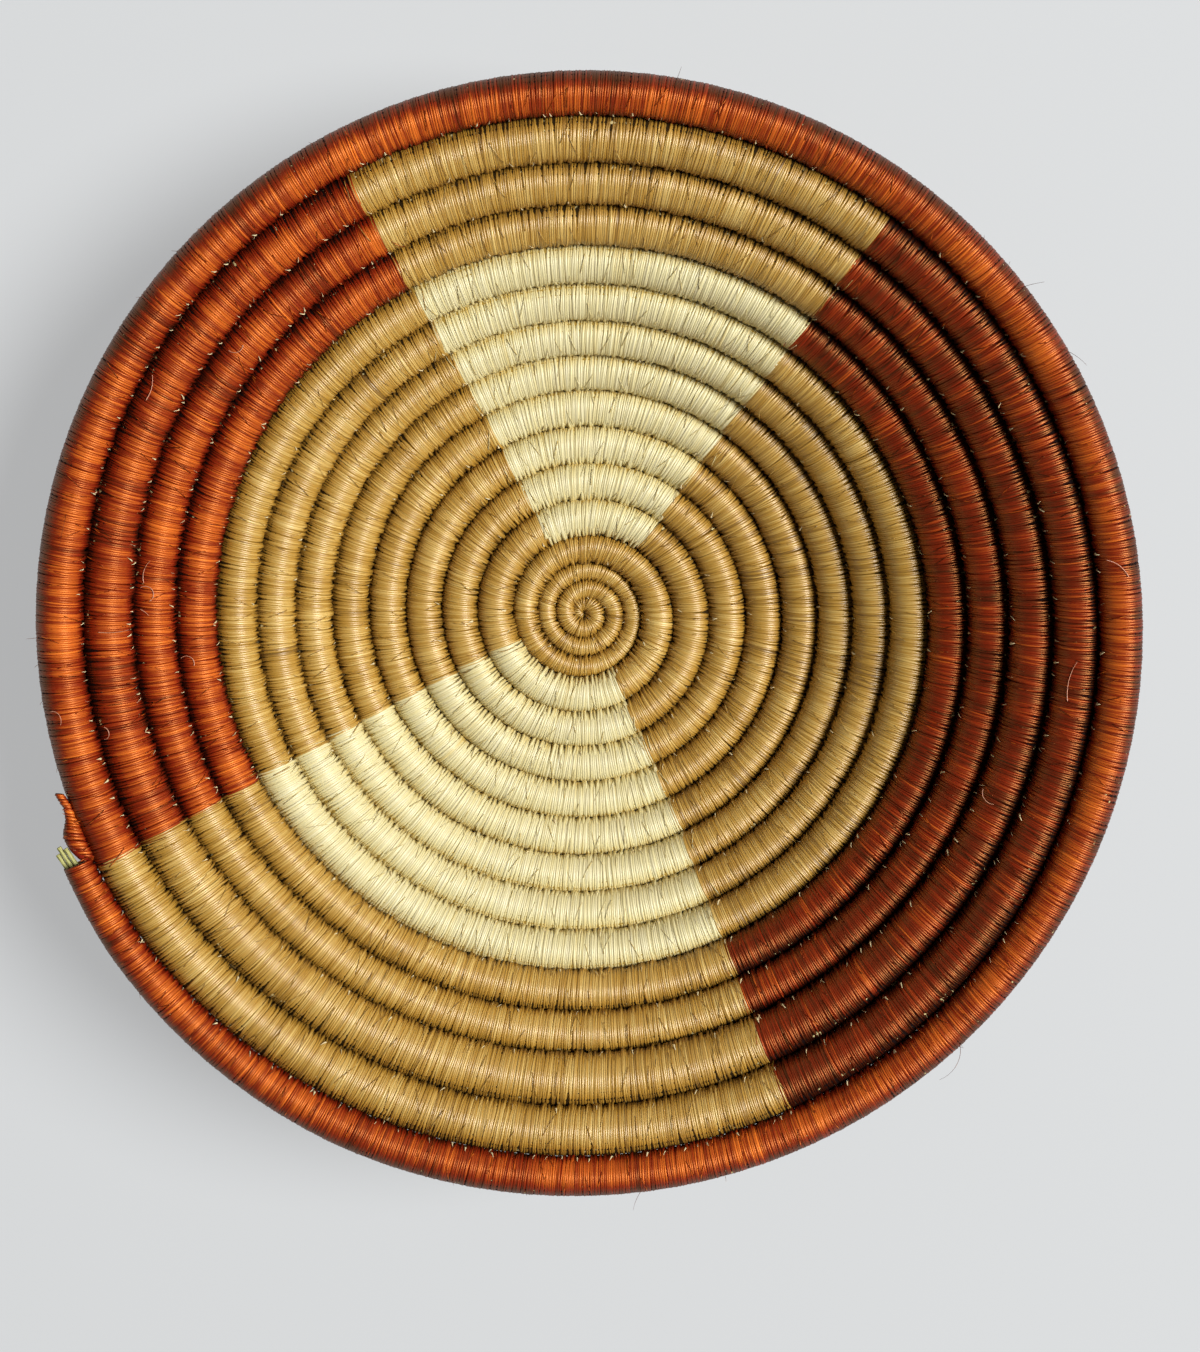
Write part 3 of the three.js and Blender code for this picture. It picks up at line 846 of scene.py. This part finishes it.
@dataclass
class BundleTree:
    """The Geometry Nodes tree that runs a bundle of grass stems along the coil."""

    share: float = 0.7
    outer_stems: int = 6
    stem_sides: int = 6
    stem_radius: float = 0.32
    ring_radius: float = 0.66

    def build(self) -> NodeTree:
        """Makes the tree: one stem in the middle, and the others round it."""
        tree, given, coil = new_geometry_tree("grass_bundle", {
            "Bundle Share": self.share, "Straw": "NodeSocketMaterial",
        })
        circles = ((self.stem_sides, self.stem_radius), (self.outer_stems, self.ring_radius))
        stem, places = (add_node(tree, "GeometryNodeCurvePrimitiveCircle", {
            "Resolution": count, "Radius": radius,
        }).outputs[0] for count, radius in circles)
        points = add_node(tree, "GeometryNodeCurveToPoints", {"Curve": places}, mode="EVALUATED").outputs[0]
        placed = add_node(tree, "GeometryNodeInstanceOnPoints", {"Points": points, "Instance": stem})
        section = add_node(tree, "GeometryNodeJoinGeometry")
        for part in (placed.outputs[0], stem):
            tree.links.new(part, section.inputs[0])
        profile = add_node(tree, "GeometryNodeRealizeInstances", {0: section.outputs[0]}).outputs[0]
        radius = add_node(tree, "GeometryNodeInputNamedAttribute", {"Name": "coil_radius"}, data_type="FLOAT")
        width = add_node(tree, "ShaderNodeMath", {
            0: radius.outputs[0], 1: given["Bundle Share"],
        }, operation="MULTIPLY").outputs[0]
        stems = add_node(tree, "GeometryNodeCurveToMesh", {
            "Curve": coil, "Profile Curve": profile, "Scale": width, "Fill Caps": True,
        }).outputs[0]
        smooth = add_node(tree, "GeometryNodeSetShadeSmooth", {"Geometry": stems}).outputs[0]
        whole = add_node(tree, "GeometryNodeRealizeInstances", {0: smooth}).outputs[0]
        finished = add_node(tree, "GeometryNodeSetMaterial", {"Geometry": whole, "Material": given["Straw"]})
        add_node(tree, "NodeGroupOutput", {"Geometry": finished.outputs[0]})
        return tree


@dataclass(frozen=True)
class StrayFibre:
    """One loose fibre: where it leaves the coil, its length, its lean along the coil and how it curls.

    The row counts from the rim inwards. A fibre that lies keeps to the coil, and others stand off it.
    """

    degrees: float
    around: float
    length_mm: float
    lean: float
    curl: float
    row: int = 0
    lies: bool = False


STRAY_FIBRES = (
    StrayFibre(9.9, 0.5, 8.6, -0.2, 0.1), StrayFibre(18.0, 0.6, 7.0, -0.8, 0.6),
    StrayFibre(31.6, 1.2, 9.5, -0.7, 0.6), StrayFibre(37.0, 1.5, 9.0, -1.0, -0.5),
    StrayFibre(51.0, 0.5, 10.5, -0.1, -0.2), StrayFibre(58.4, 0.4, 9.0, -0.5, -0.8),
    StrayFibre(82.0, 0.6, 8.0, 0.8, 0.6), StrayFibre(104.0, 0.6, 5.0, -0.9, 0.3),
    StrayFibre(136.4, 0.5, 14.0, -0.1, -1.9), StrayFibre(173.0, 0.5, 8.0, -0.7, 0.5),
    StrayFibre(241.0, 0.5, 11.0, 0.3, -3.6), StrayFibre(239.2, 0.6, 7.0, 0.2, 2.4),
    StrayFibre(270.0, 0.2, 3.8, 0.0, 0.0), StrayFibre(276.0, 0.5, 3.0, 0.2, 0.4),
    StrayFibre(284.0, 1.2, 12.0, 0.6, 1.8), StrayFibre(289.0, 0.9, 8.5, -0.8, 0.7),
    StrayFibre(308.6, 1.3, 13.0, 0.1, 2.1), StrayFibre(308.0, 0.6, 6.0, -0.9, 1.5),
    StrayFibre(334.2, 0.6, 4.5, -0.2, 0.2), StrayFibre(345.0, 0.6, 6.5, -1.1, 0.4),
    StrayFibre(276.6, 0.9, 6.5, -1.9, 1.1, 2, True), StrayFibre(274.2, 1.2, 7.0, -0.6, -3.2, 2, True),
    StrayFibre(273.0, 0.8, 3.0, 0.3, 0.5, 2, True), StrayFibre(270.5, 1.0, 8.5, 0.1, -0.4, 1, True),
    StrayFibre(264.5, 1.1, 5.5, -1.2, -2.6, 3, True), StrayFibre(259.0, 0.7, 5.0, 0.4, 2.9, 1, True),
    StrayFibre(262.0, 0.6, 6.0, -0.3, 2.6, 0, True), StrayFibre(97.0, 1.5, 11.0, 1.3, 0.7, 1, True),
    StrayFibre(83.0, 0.8, 8.0, 1.2, -0.9, 0, True), StrayFibre(112.0, 1.4, 6.0, -0.4, 1.9, 2, True),
    StrayFibre(299.0, 0.9, 7.0, -1.4, -0.8, 1, True), StrayFibre(311.0, 1.2, 5.0, 1.0, 2.2, 2, True),
)


@dataclass
class FibreTree:
    """The Geometry Nodes tree that turns lines into single fibres, thinner towards their tips."""

    foot_radius: float = 0.075 * MM
    tip_radius: float = 0.03 * MM
    sides: int = 4
    tone: float = 0.62

    def build(self) -> NodeTree:
        """Makes the tree."""
        tree, given, lines = new_geometry_tree("stray_fibres", {
            "Foot Radius": self.foot_radius, "Tip Radius": self.tip_radius, "Fibre": "NodeSocketMaterial",
        })
        share = add_node(tree, "GeometryNodeSplineParameter").outputs["Factor"]
        radius = add_node(tree, "ShaderNodeMapRange", {
            "Value": share, "To Min": given["Foot Radius"], "To Max": given["Tip Radius"],
        }).outputs[0]
        ring = add_node(tree, "GeometryNodeCurvePrimitiveCircle", {
            "Resolution": self.sides, "Radius": 1.0,
        }).outputs[0]
        fibres = add_node(tree, "GeometryNodeCurveToMesh", {
            "Curve": lines, "Profile Curve": ring, "Scale": radius, "Fill Caps": True,
        }).outputs[0]
        toned = add_node(tree, "GeometryNodeStoreNamedAttribute", {
            "Geometry": fibres, "Name": "thread_tone", "Value": self.tone,
        }, data_type="FLOAT", domain="POINT").outputs[0]
        whole = add_node(tree, "GeometryNodeRealizeInstances", {0: toned}).outputs[0]
        finished = add_node(tree, "GeometryNodeSetMaterial", {"Geometry": whole, "Material": given["Fibre"]})
        add_node(tree, "NodeGroupOutput", {"Geometry": finished.outputs[0]})
        return tree


def add_piece(name: str, mesh: Mesh, slot: str, *nodes: str) -> None:
    """Puts a finished mesh in the scene as a piece of the bowl.

    Args:
        name: the piece's name.
        mesh: its mesh, with its place in its vertices.
        slot: the record's material slot; not used.
        *nodes: the solids that it stands for.
    """
    piece = bpy.data.objects.new(name, mesh)
    bpy.context.scene.collection.objects.link(piece)
    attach(piece, BODY)
    if nodes:
        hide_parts(*nodes)
    log.info("%s: %d faces", name, len(mesh.polygons))


@dataclass
class CoiledBody:
    """The whole coil: its lashings, its grass bundle, and the twist and cut stems at its end."""

    coil: CoilPath = field(default_factory=CoilPath)
    pattern: Pattern = field(default_factory=Pattern)
    step_degrees: float = 3.0
    bundle_step_degrees: float = 6.0
    fewest_steps: int = 4
    seed_step: int = 10
    seen_arc: float = 220.0
    seen_steps: int = 14
    hidden_steps: int = 5
    step_warp: float = 0.06
    sliver_spacings: dict[Dye, float] = field(default_factory=lambda: {
        Dye.CREAM: 16.0 * MM, Dye.TAN: 12.0 * MM, Dye.RUST: 5.0 * MM,
    })
    thread_sizes: dict[Dye, tuple[float, float]] = field(default_factory=lambda: {
        Dye.CREAM: (1.25 * MM, 0.16 * MM), Dye.TAN: (1.08 * MM, 0.21 * MM), Dye.RUST: (1.06 * MM, 0.21 * MM),
    })
    # painted shade: the rust and tan on the right wall are set darker, where that wall faces away from the key
    # light; the other small values are hank tones
    hank_and_painted_shade_tones: dict[str, float] = field(default_factory=lambda: {
        "right_rust": -0.31, "left_rust": -0.04, "rim_rust": -0.02, "right_tan": -0.05, "left_tan": 0.01,
    })
    outermost: tuple[str, ...] = ("rim_rust", "tail_rust")
    fuzz_count: int = 90
    fuzz_seed: int = 7
    fuzz_lowest: tuple[float, ...] = (0.0, -0.2, 0.7, -1.2, -1.2)
    fuzz_highest: tuple[float, ...] = (360.0, 1.3, 2.4, 1.2, 1.2)
    fibre_points: int = 11
    lying_lift: float = 0.7 * MM
    lying_radius: float = 0.13 * MM
    start_turns: float = 0.85
    start_tip_radius: float = 0.9
    start_tip_coil: float = 1.9
    start_points: int = 25
    start_inputs: dict[str, Any] = field(default_factory=lambda: {"Seed": 950, "Stitch Reach": 0.5 * MM})
    twist_points: int = 41
    twist_length: float = 19.0
    twist_start: float = 3.0
    twist_bulge: float = 4.5
    twist_tip: float = 1.3
    twist_bulge_share: float = 0.625
    twist_thins_between: tuple[float, float] = (0.3, 0.9)
    twist_foot_share: float = 0.3
    twist_rounded_share: float = 0.09
    twist_lift: float = 1.0
    twist_lifts_between: tuple[float, float] = (0.75, 1.0)
    twist_inputs: dict[str, Any] = field(default_factory=lambda: {
        "Seed": 900, "Slant": 0.5, "Stitch Reach": 0.2 * MM, "Fibre Spacing": 1.5 * MM,
        "Parted Outside": 0.0, "Sliver Spacing": 1.0,
        "Thread Spacing": 0.9 * MM, "Thread Width": 1.4 * MM, "Thread Height": 0.42 * MM,
    })
    lashing_gap: float = 0.3
    stem_diameter: float = 1.3
    stem_lengths: Triple = (5.4, 6.4, 4.6)
    stem_step_out: float = 1.1
    stem_step_down: float = 1.25
    stem_offset: float = 1.7
    stem_lean: float = math.radians(7)
    stem_bore_share: float = 0.55
    stem_bore_ends: float = 0.35
    stem_waist: float = 0.06
    stem_sides: int = 14
    stem_rings: int = 8
    stem_sharp_angle: float = math.radians(40)

    @staticmethod
    def guide(section: dict[str, np.ndarray]) -> Mesh:
        """A stretch of coil's middle line, as an edge chain with its section on each point.

        Args:
            section: the stretch's cross-sections.

        Returns:
            The guide's mesh.
        """
        mesh = bpy.data.meshes.new("coil_guide")
        last = len(section["middle"]) - 1
        mesh.from_pydata(section["middle"].tolist(), [(at, at + 1) for at in range(last)], [])
        for name in ("outward", "upward"):
            layer = mesh.attributes.new(name, "FLOAT_VECTOR", "POINT")
            layer.data.foreach_set("vector", section[name].ravel())
        mesh.attributes.new("coil_radius", "FLOAT", "POINT").data.foreach_set("value", section["coil_radius"])
        return mesh

    def stretch(self, start: float, end: float, step_degrees: float) -> Mesh:
        """The guide of the coil from one turn to another, with a point at each step."""
        steps = max(self.fewest_steps, round((end - start) * 360 / step_degrees))
        turns = np.linspace(start, end, steps + 1)
        return self.guide(self.coil.sections(turns, self.coil.tapered_thickness(turns)))

    def flat_shapes(self) -> dict[str, bpy.types.Object]:
        """The flat shapes that the lashing tree bends round the coil, by the input that takes each."""
        share = np.linspace(0, 1, self.seen_steps + 1)
        seen_side = self.seen_arc * (share + self.step_warp * np.sin(2 * np.pi * share))
        hidden_side = np.linspace(self.seen_arc, 360, self.hidden_steps + 1)
        round_coil = LOOP_STARTS + np.radians(np.concatenate([seen_side, hidden_side[1:]]))
        loop = FlatTube("thread_loop", ((-0.5, 0.0), (0.0, 1.0), (0.5, 0.0)), round_coil, closed=True)
        tubes = {"Thread Loop": loop, "Fibre Shape": LOOSE_FIBRE, "Sliver Shape": GRASS_SLIVER}
        shapes = {name: tube.build() for name, tube in tubes.items()}
        for shape in shapes.values():
            bpy.context.scene.collection.objects.link(shape)
        return shapes

    def build(self) -> None:
        """Lashes the whole coil, one piece for each length of sisal, and finishes its end."""
        tree = LashingTree().build()
        shapes = self.flat_shapes()
        straw = GrassFinish().material()
        split_straw = GrassFinish("split_grass", pale="#EADCB0", deep="#B79C62").material()
        finishes = {dye: {
            **shapes, "Sliver Material": split_straw, "Sliver Spacing": self.sliver_spacings[dye],
            "Thread Material": SISAL[dye].thread(), "Under Material": SISAL[dye].under_layer(),
            "Thread Width": self.thread_sizes[dye][0], "Thread Height": self.thread_sizes[dye][1],
        } for dye in Dye}
        for count, lashing in enumerate(self.pattern.lashings(self.coil)):
            hank = lashing.name.split("_lashing")[0]
            mesh = self.lash(tree, self.stretch(lashing.start, lashing.end, self.step_degrees), {
                **finishes[lashing.dye], "Seed": count * self.seed_step,
                "Hank Tone": self.hank_and_painted_shade_tones.get(hank, 0.0),
                "Parted Outside": float(hank not in self.outermost),
            })
            add_piece(lashing.name, mesh, lashing.dye.value, lashing.node)
        self.add_start(tree, finishes[Dye.TAN])
        rust = SISAL[Dye.RUST]
        self.add_twist(tree, {**finishes[Dye.RUST], "Under Material": rust.under_layer(rust.mid)})
        for shape in shapes.values():
            bpy.data.objects.remove(shape)
        self.add_stray_fibres(finishes[Dye.RUST]["Thread Material"])
        self.add_bundle(straw)
        self.add_cut_stems(straw)

    def add_stray_fibres(self, dyed: Material) -> None:
        """The loose fibre ends: those seen to stand off the rim, short fuzz all round it, and those that lie.

        Args:
            dyed: the rim's thread material.
        """
        rng = np.random.default_rng(self.fuzz_seed)
        fuzz = [StrayFibre(*rng.uniform(self.fuzz_lowest, self.fuzz_highest)) for _ in range(self.fuzz_count)]
        standing = [fibre for fibre in STRAY_FIBRES if not fibre.lies] + fuzz
        lying = [fibre for fibre in STRAY_FIBRES if fibre.lies]
        tree = FibreTree().build()
        sizes = {"Foot Radius": self.lying_radius, "Tip Radius": self.lying_radius / 2}
        for name, fibres, values in (
            ("stray_rim_fibres", standing, {"Fibre": dyed}),
            ("stray_lying_fibres", lying, {"Fibre": HALF_DYED.thread(), **sizes}),
        ):
            add_piece(name, self.lash(tree, self.fibre_lines(fibres), values), Dye.RUST.value)

    def fibre_lines(self, fibres: list[StrayFibre]) -> Mesh:
        """Draws loose fibres as chains of edges.

        Args:
            fibres: the fibres.

        Returns:
            The lines' mesh.
        """
        share = np.linspace(0, 1, self.fibre_points)
        vertices, edges = [], []
        for fibre in fibres:
            turn = np.array([fibre.degrees / 360 + int(self.coil.rim_lashing_end_turn)])
            turn = turn - (turn > self.coil.rim_lashing_end_turn) - fibre.row
            section = self.coil.sections(turn, self.coil.tapered_thickness(turn))
            outward, upward = section["outward"][0], section["upward"][0]
            away = outward * math.cos(fibre.around) + upward * math.sin(fibre.around)
            over = upward * math.cos(fibre.around) - outward * math.sin(fibre.around)
            along = np.cross(upward, outward)
            bearing = (fibre.lean + fibre.curl * (share[:-1] + share[1:]) / 2)[:, None]
            leading = over if fibre.lies else away
            steps = (np.cos(bearing) * leading + np.sin(bearing) * along) * fibre.length_mm * MM
            foot = section["middle"][0] + away * (section["coil_radius"][0] + self.lying_lift * fibre.lies)
            first = len(vertices)
            vertices += [foot, *(foot + np.cumsum(steps, 0) / (self.fibre_points - 1))]
            edges += [(at, at + 1) for at in range(first, len(vertices) - 1)]
        mesh = bpy.data.meshes.new("stray_fibre_lines")
        mesh.from_pydata(vertices, edges, [])
        return mesh

    def add_bundle(self, straw: Material) -> None:
        """The grass bundle inside the lashings, as stems that run side by side along the whole coil.

        Args:
            straw: the grass's material.
        """
        guide = self.stretch(self.coil.first_turn, self.coil.tail_end(), self.bundle_step_degrees)
        mesh = self.lash(BundleTree().build(), guide, {"Straw": straw})
        add_piece("grass_bundle", mesh, GRASS_SLOT, "grass_core")

    def add_cut_stems(self, straw: Material) -> None:
        """The cut stems that stand out of the coil's end, each a hollow straw with its cut face open.

        Args:
            straw: the grass's material.
        """
        at = np.array([self.coil.further(self.coil.tail_end(), self.lashing_gap)])
        section = self.coil.sections(at, self.coil.tapered_thickness(at))
        middle, out, up = (Vector(section[name][0]) for name in ("middle", "outward", "upward"))
        along = Vector((math.cos(2 * math.pi * at[0]), -math.sin(2 * math.pi * at[0]), 0.0))
        axis = along * math.cos(self.stem_lean) + out * math.sin(self.stem_lean)
        side = axis.cross(up)
        radius = self.stem_diameter / 2
        for count, length in enumerate(self.stem_lengths):
            step = count - (len(self.stem_lengths) - 1) / 2
            foot = middle + MM * (
                out * (self.stem_offset + step * self.stem_step_out) - up * step * self.stem_step_down
                + along * radius * math.sin(self.stem_lean))
            mesh = self.straw_mesh(foot, axis * length * MM, side, up, radius * MM)
            mesh.materials.append(straw)
            number = count + 1
            add_piece(f"cut_straw_{number}", mesh, GRASS_SLOT, f"cut_grass_stem_{number}")

    def straw_mesh(self, foot: Vector, axis: Vector, side: Vector, up: Vector, radius: float) -> Mesh:
        """One hollow straw, closed at its foot, with a slightly uneven wall and its map along it.

        Args:
            foot: the middle of its foot.
            axis: its whole length.
            side: the direction of its first corner.
            up: the direction a quarter round.
            radius: its outer radius.

        Returns:
            The straw's mesh.
        """
        profile = [(ring / self.stem_rings, 1.0) for ring in range(self.stem_rings + 1)]
        profile += [(1.0, self.stem_bore_share), (self.stem_bore_ends, self.stem_bore_share)]
        vertices, faces = [], []
        for share, width in profile:
            swell = 1 - self.stem_waist * math.sin(math.pi * share) ** 2
            for corner in range(self.stem_sides):
                turned = 2 * math.pi * corner / self.stem_sides
                toward = side * math.cos(turned) + up * math.sin(turned)
                vertices.append(foot + axis * share + toward * radius * width * swell)
        for row in range(len(profile) - 1):
            for corner in range(self.stem_sides):
                beside = (corner + 1) % self.stem_sides
                here, there = row * self.stem_sides, (row + 1) * self.stem_sides
                faces.append((here + corner, here + beside, there + beside, there + corner))
        faces.append(tuple(reversed(range(self.stem_sides))))
        last = (len(profile) - 1) * self.stem_sides
        faces.append(tuple(range(last, last + self.stem_sides)))
        mesh = bpy.data.meshes.new("cut_straw")
        mesh.from_pydata(vertices, [], faces)
        layer = mesh.uv_layers.new(name="UVMap")
        for loop in mesh.loops:
            row, corner = divmod(loop.vertex_index, self.stem_sides)
            layer.data[loop.index].uv = (corner / self.stem_sides, profile[row][0])
        work = bmesh.new()
        work.from_mesh(mesh)
        bmesh.ops.recalc_face_normals(work, faces=work.faces)
        work.to_mesh(mesh)
        work.free()
        mesh.shade_smooth()
        mesh.set_sharp_from_angle(angle=self.stem_sharp_angle)
        return mesh

    def add_start(self, tree: NodeTree, finish: dict[str, Any]) -> None:
        """The thin tip of the bundle, curled up inside the first turn and lashed over.

        Args:
            tree: the lashing tree.
            finish: the tree's shapes and materials for tan sisal.
        """
        share = np.linspace(0, 1, self.start_points)
        turned = 2 * np.pi * (self.coil.first_turn - self.start_turns * (1 - share))
        radial = self.start_tip_radius + (self.coil.start_radius - self.start_tip_radius) * share
        thickness = self.start_tip_coil + (self.coil.centre_coil - self.start_tip_coil) * share
        outward = np.stack([np.sin(turned), np.cos(turned), np.zeros_like(turned)], 1)
        upward = np.broadcast_to((0.0, 0.0, 1.0), outward.shape).copy()
        middle = outward * radial[:, None] + upward * thickness[:, None] / 2
        middle[:, :2] += self.coil.centre
        guide = self.guide({
            "middle": middle * MM, "outward": outward, "upward": upward, "coil_radius": thickness / 2 * MM,
        })
        add_piece("coil_start", self.lash(tree, guide, {**finish, **self.start_inputs}), Dye.TAN.value)

    def add_twist(self, tree: NodeTree, finish: dict[str, Any]) -> None:
        """The loose twist of sisal that runs on along the rim, wound over itself and thin at its tip.

        Args:
            tree: the lashing tree.
            finish: the tree's shapes and materials for rust sisal.
        """
        start = self.coil.further(self.coil.tail_end(), self.lashing_gap)
        end = self.coil.further(start, self.twist_length)
        share = np.linspace(0, 1, self.twist_points)
        turns = start + (end - start) * share
        swollen = np.sin(np.pi * np.minimum(1, share / self.twist_bulge_share)) ** 2
        thinned = smoothstep(share, *self.twist_thins_between)
        thickness = self.twist_start + (self.twist_bulge - self.twist_start) * swollen
        thickness = thickness - (self.twist_start - self.twist_tip) * thinned
        foot = self.twist_foot_share
        thickness = thickness * (foot + (1 - foot) * smoothstep(share, 0.0, self.twist_rounded_share))
        lift = self.twist_lift * smoothstep(share, *self.twist_lifts_between)
        lift = self.lashing_gap - self.coil.row_gap + lift
        rise = (self.coil.full_thickness(turns - 1) - thickness) / 2
        guide = self.guide(self.coil.sections(turns, thickness, lift, rise))
        mesh = self.lash(tree, guide, {**finish, **self.twist_inputs})
        add_piece("sisal_twist", mesh, Dye.RUST.value, "sisal_twist_end")

    @staticmethod
    def lash(tree: NodeTree, guide: Mesh, values: dict[str, Any]) -> Mesh:
        """Runs a Geometry Nodes tree on one guide and returns the plain mesh.

        Args:
            tree: the lashing, bundle or fibre tree.
            guide: the stretch of coil, or the fibres' lines.
            values: the tree's inputs by name.

        Returns:
            The finished mesh.
        """
        holder = bpy.data.objects.new("lashing_guide", guide)
        bpy.context.scene.collection.objects.link(holder)
        modifier = holder.modifiers.new("lashing", "NODES")
        modifier.node_group = tree
        for item in tree.interface.items_tree:
            if item.in_out == "INPUT" and item.name in values:
                modifier[item.identifier] = values[item.name]
        graph = bpy.context.evaluated_depsgraph_get()
        mesh = bpy.data.meshes.new_from_object(
            holder.evaluated_get(graph), preserve_all_data_layers=True, depsgraph=graph)
        wrap_names = ("wrap_middle", "wrap_build", "wrap_shifts", "wrap_play")
        for name in ("outward", "upward", "coil_radius", *wrap_names):
            if name in mesh.attributes:
                mesh.attributes.remove(mesh.attributes[name])
        holder.modifiers.remove(modifier)
        bpy.data.objects.remove(holder)
        if mesh.materials[0] is None:
            mesh.materials.pop(index=0)
        return mesh


@dataclass
class Studio:
    """The plain pale floor, the soft lights and the camera at the photograph's angle."""

    camera_mm: Triple = (18.71, 85.03, 580.94)
    tilt_degrees: float = -9.75
    sideways_degrees: float = 1.58
    focal_pixels: float = 2002.3
    clip_between: tuple[float, float] = (0.01, 20.0)
    floor_colour: str = "#CDD0D1"
    floor_roughness: float = 0.9
    floor_half: float = 40.0
    glow: str = "#DADBDC"
    near_glow: float = 0.6
    near_between: tuple[float, float] = (0.147, 0.158)
    far_between: tuple[float, float] = (0.5, 3.0)
    wall_between: tuple[float, float] = (0.3, 0.45)
    key_energy: float = 238.0
    key_azimuth: float = 80.0
    key_elevation: float = 48.0
    key_distance: float = 4.0
    key_size: float = 2.0
    fill_colour: str = "#FFFFFF"
    fill_strength: float = 0.1

    def build(self) -> None:
        """Makes the floor, lights, world and camera."""
        self.add_camera()
        self.add_floor()
        self.add_lights()
        bpy.context.scene.view_settings.view_transform = "Standard"

    def add_camera(self) -> None:
        """Places the camera above the bowl and makes it the scene's own."""
        data = bpy.data.cameras.new("camera")
        data.sensor_width = SENSOR_MM
        data.lens = self.focal_pixels * SENSOR_MM / max(IMAGE_WIDTH, IMAGE_HEIGHT)
        data.clip_start, data.clip_end = self.clip_between
        camera = bpy.data.objects.new("camera", data)
        camera.location = Vector(self.camera_mm) * MM
        tilt, sideways = math.radians(self.tilt_degrees), math.radians(self.sideways_degrees)
        camera.rotation_euler = Euler((tilt, sideways, 0.0))
        bpy.context.scene.collection.objects.link(camera)
        bpy.context.scene.camera = camera

    @staticmethod
    def seen(tree: NodeTree) -> NodeSocket:
        """Tells the rays that show the background, straight or mirrored or through glass, from others.

        Args:
            tree: the floor's or the world's tree.

        Returns:
            1 for the rays that show it and 0 for the others.
        """
        ray = add_node(tree, "ShaderNodeLightPath").outputs
        seen = ray["Is Camera Ray"]
        for kind in ("Is Glossy Ray", "Is Transmission Ray"):
            seen = add_node(tree, "ShaderNodeMath", {0: seen, 1: ray[kind]}, operation="MAXIMUM").outputs[0]
        return seen

    def add_floor(self) -> None:
        """A wide matt board that keeps the bowl's shadow."""
        half = self.floor_half
        corners = [(-half, -half, 0), (half, -half, 0), (half, half, 0), (-half, half, 0)]
        mesh = bpy.data.meshes.new("floor")
        mesh.from_pydata(corners, [], [(0, 1, 2, 3)])
        material = new_material("painted_board")
        tree = material.node_tree
        shader = add_node(tree, "ShaderNodeBsdfPrincipled", {
            "Base Color": linear(self.floor_colour), "Roughness": self.floor_roughness,
        })
        glow = add_node(tree, "ShaderNodeEmission", {"Color": linear(self.glow), "Strength": 1.0})
        place = add_node(tree, "ShaderNodeTexCoord").outputs["Object"]
        away = add_node(tree, "ShaderNodeVectorMath", {0: place}, operation="LENGTH").outputs["Value"]
        near, far = (add_node(tree, "ShaderNodeMapRange", {
            "Value": away, "From Min": begins, "From Max": ends, "To Min": 0.0, "To Max": amount,
        }, interpolation_type="SMOOTHSTEP").outputs[0] for (begins, ends), amount in (
            (self.near_between, self.near_glow), (self.far_between, 1 - self.near_glow),
        ))
        share = add_node(tree, "ShaderNodeMath", {0: near, 1: far}).outputs[0]
        share = add_node(tree, "ShaderNodeMath", {0: self.seen(tree), 1: share}, operation="MULTIPLY")
        mixed = add_node(tree, "ShaderNodeMixShader", {
            0: share.outputs[0], 1: shader.outputs["BSDF"], 2: glow.outputs[0],
        })
        add_node(tree, "ShaderNodeOutputMaterial", {"Surface": mixed.outputs[0]})
        mesh.materials.append(material)
        board = bpy.data.objects.new("floor", mesh)
        bpy.context.scene.collection.objects.link(board)

    def add_lights(self) -> None:
        """One soft key from the right, an even fill from all round, and a pale wall beyond the floor."""
        data = bpy.data.lights.new("key_light", "AREA")
        data.shape = "DISK"
        data.size = self.key_size
        data.energy = self.key_energy
        key = bpy.data.objects.new("key_light", data)
        azimuth, elevation = math.radians(self.key_azimuth), math.radians(self.key_elevation)
        level = math.cos(elevation)
        toward = Vector((level * math.sin(azimuth), level * math.cos(azimuth), math.sin(elevation)))
        key.location = toward * self.key_distance
        key.rotation_euler = toward.to_track_quat("Z", "Y").to_euler()
        bpy.context.scene.collection.objects.link(key)
        world = bpy.data.worlds.new("studio")
        world.use_nodes = True
        tree = world.node_tree
        tree.nodes.clear()
        fill, pale = (add_node(tree, "ShaderNodeBackground", {
            "Color": linear(colour), "Strength": strength,
        }).outputs[0] for colour, strength in ((self.fill_colour, self.fill_strength), (self.glow, 1.0)))
        direction = add_node(tree, "ShaderNodeTexCoord").outputs["Generated"]
        height = add_node(tree, "ShaderNodeSeparateXYZ", {0: direction}).outputs[2]
        begins, ends = self.wall_between
        low = add_node(tree, "ShaderNodeMapRange", {
            "Value": height, "From Min": begins, "From Max": ends, "To Min": 1.0, "To Max": 0.0,
        }, interpolation_type="SMOOTHSTEP").outputs[0]
        share = add_node(tree, "ShaderNodeMath", {0: self.seen(tree), 1: low}, operation="MULTIPLY")
        mixed = add_node(tree, "ShaderNodeMixShader", {0: share.outputs[0], 1: fill, 2: pale})
        add_node(tree, "ShaderNodeOutputWorld", {"Surface": mixed.outputs[0]})
        bpy.context.scene.world = world


def main() -> None:
    """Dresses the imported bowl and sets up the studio."""
    logging.basicConfig(level=logging.INFO, format="%(name)s %(message)s")
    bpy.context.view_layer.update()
    CoiledBody().build()
    Studio().build()


if __name__ == "__main__":
    main()
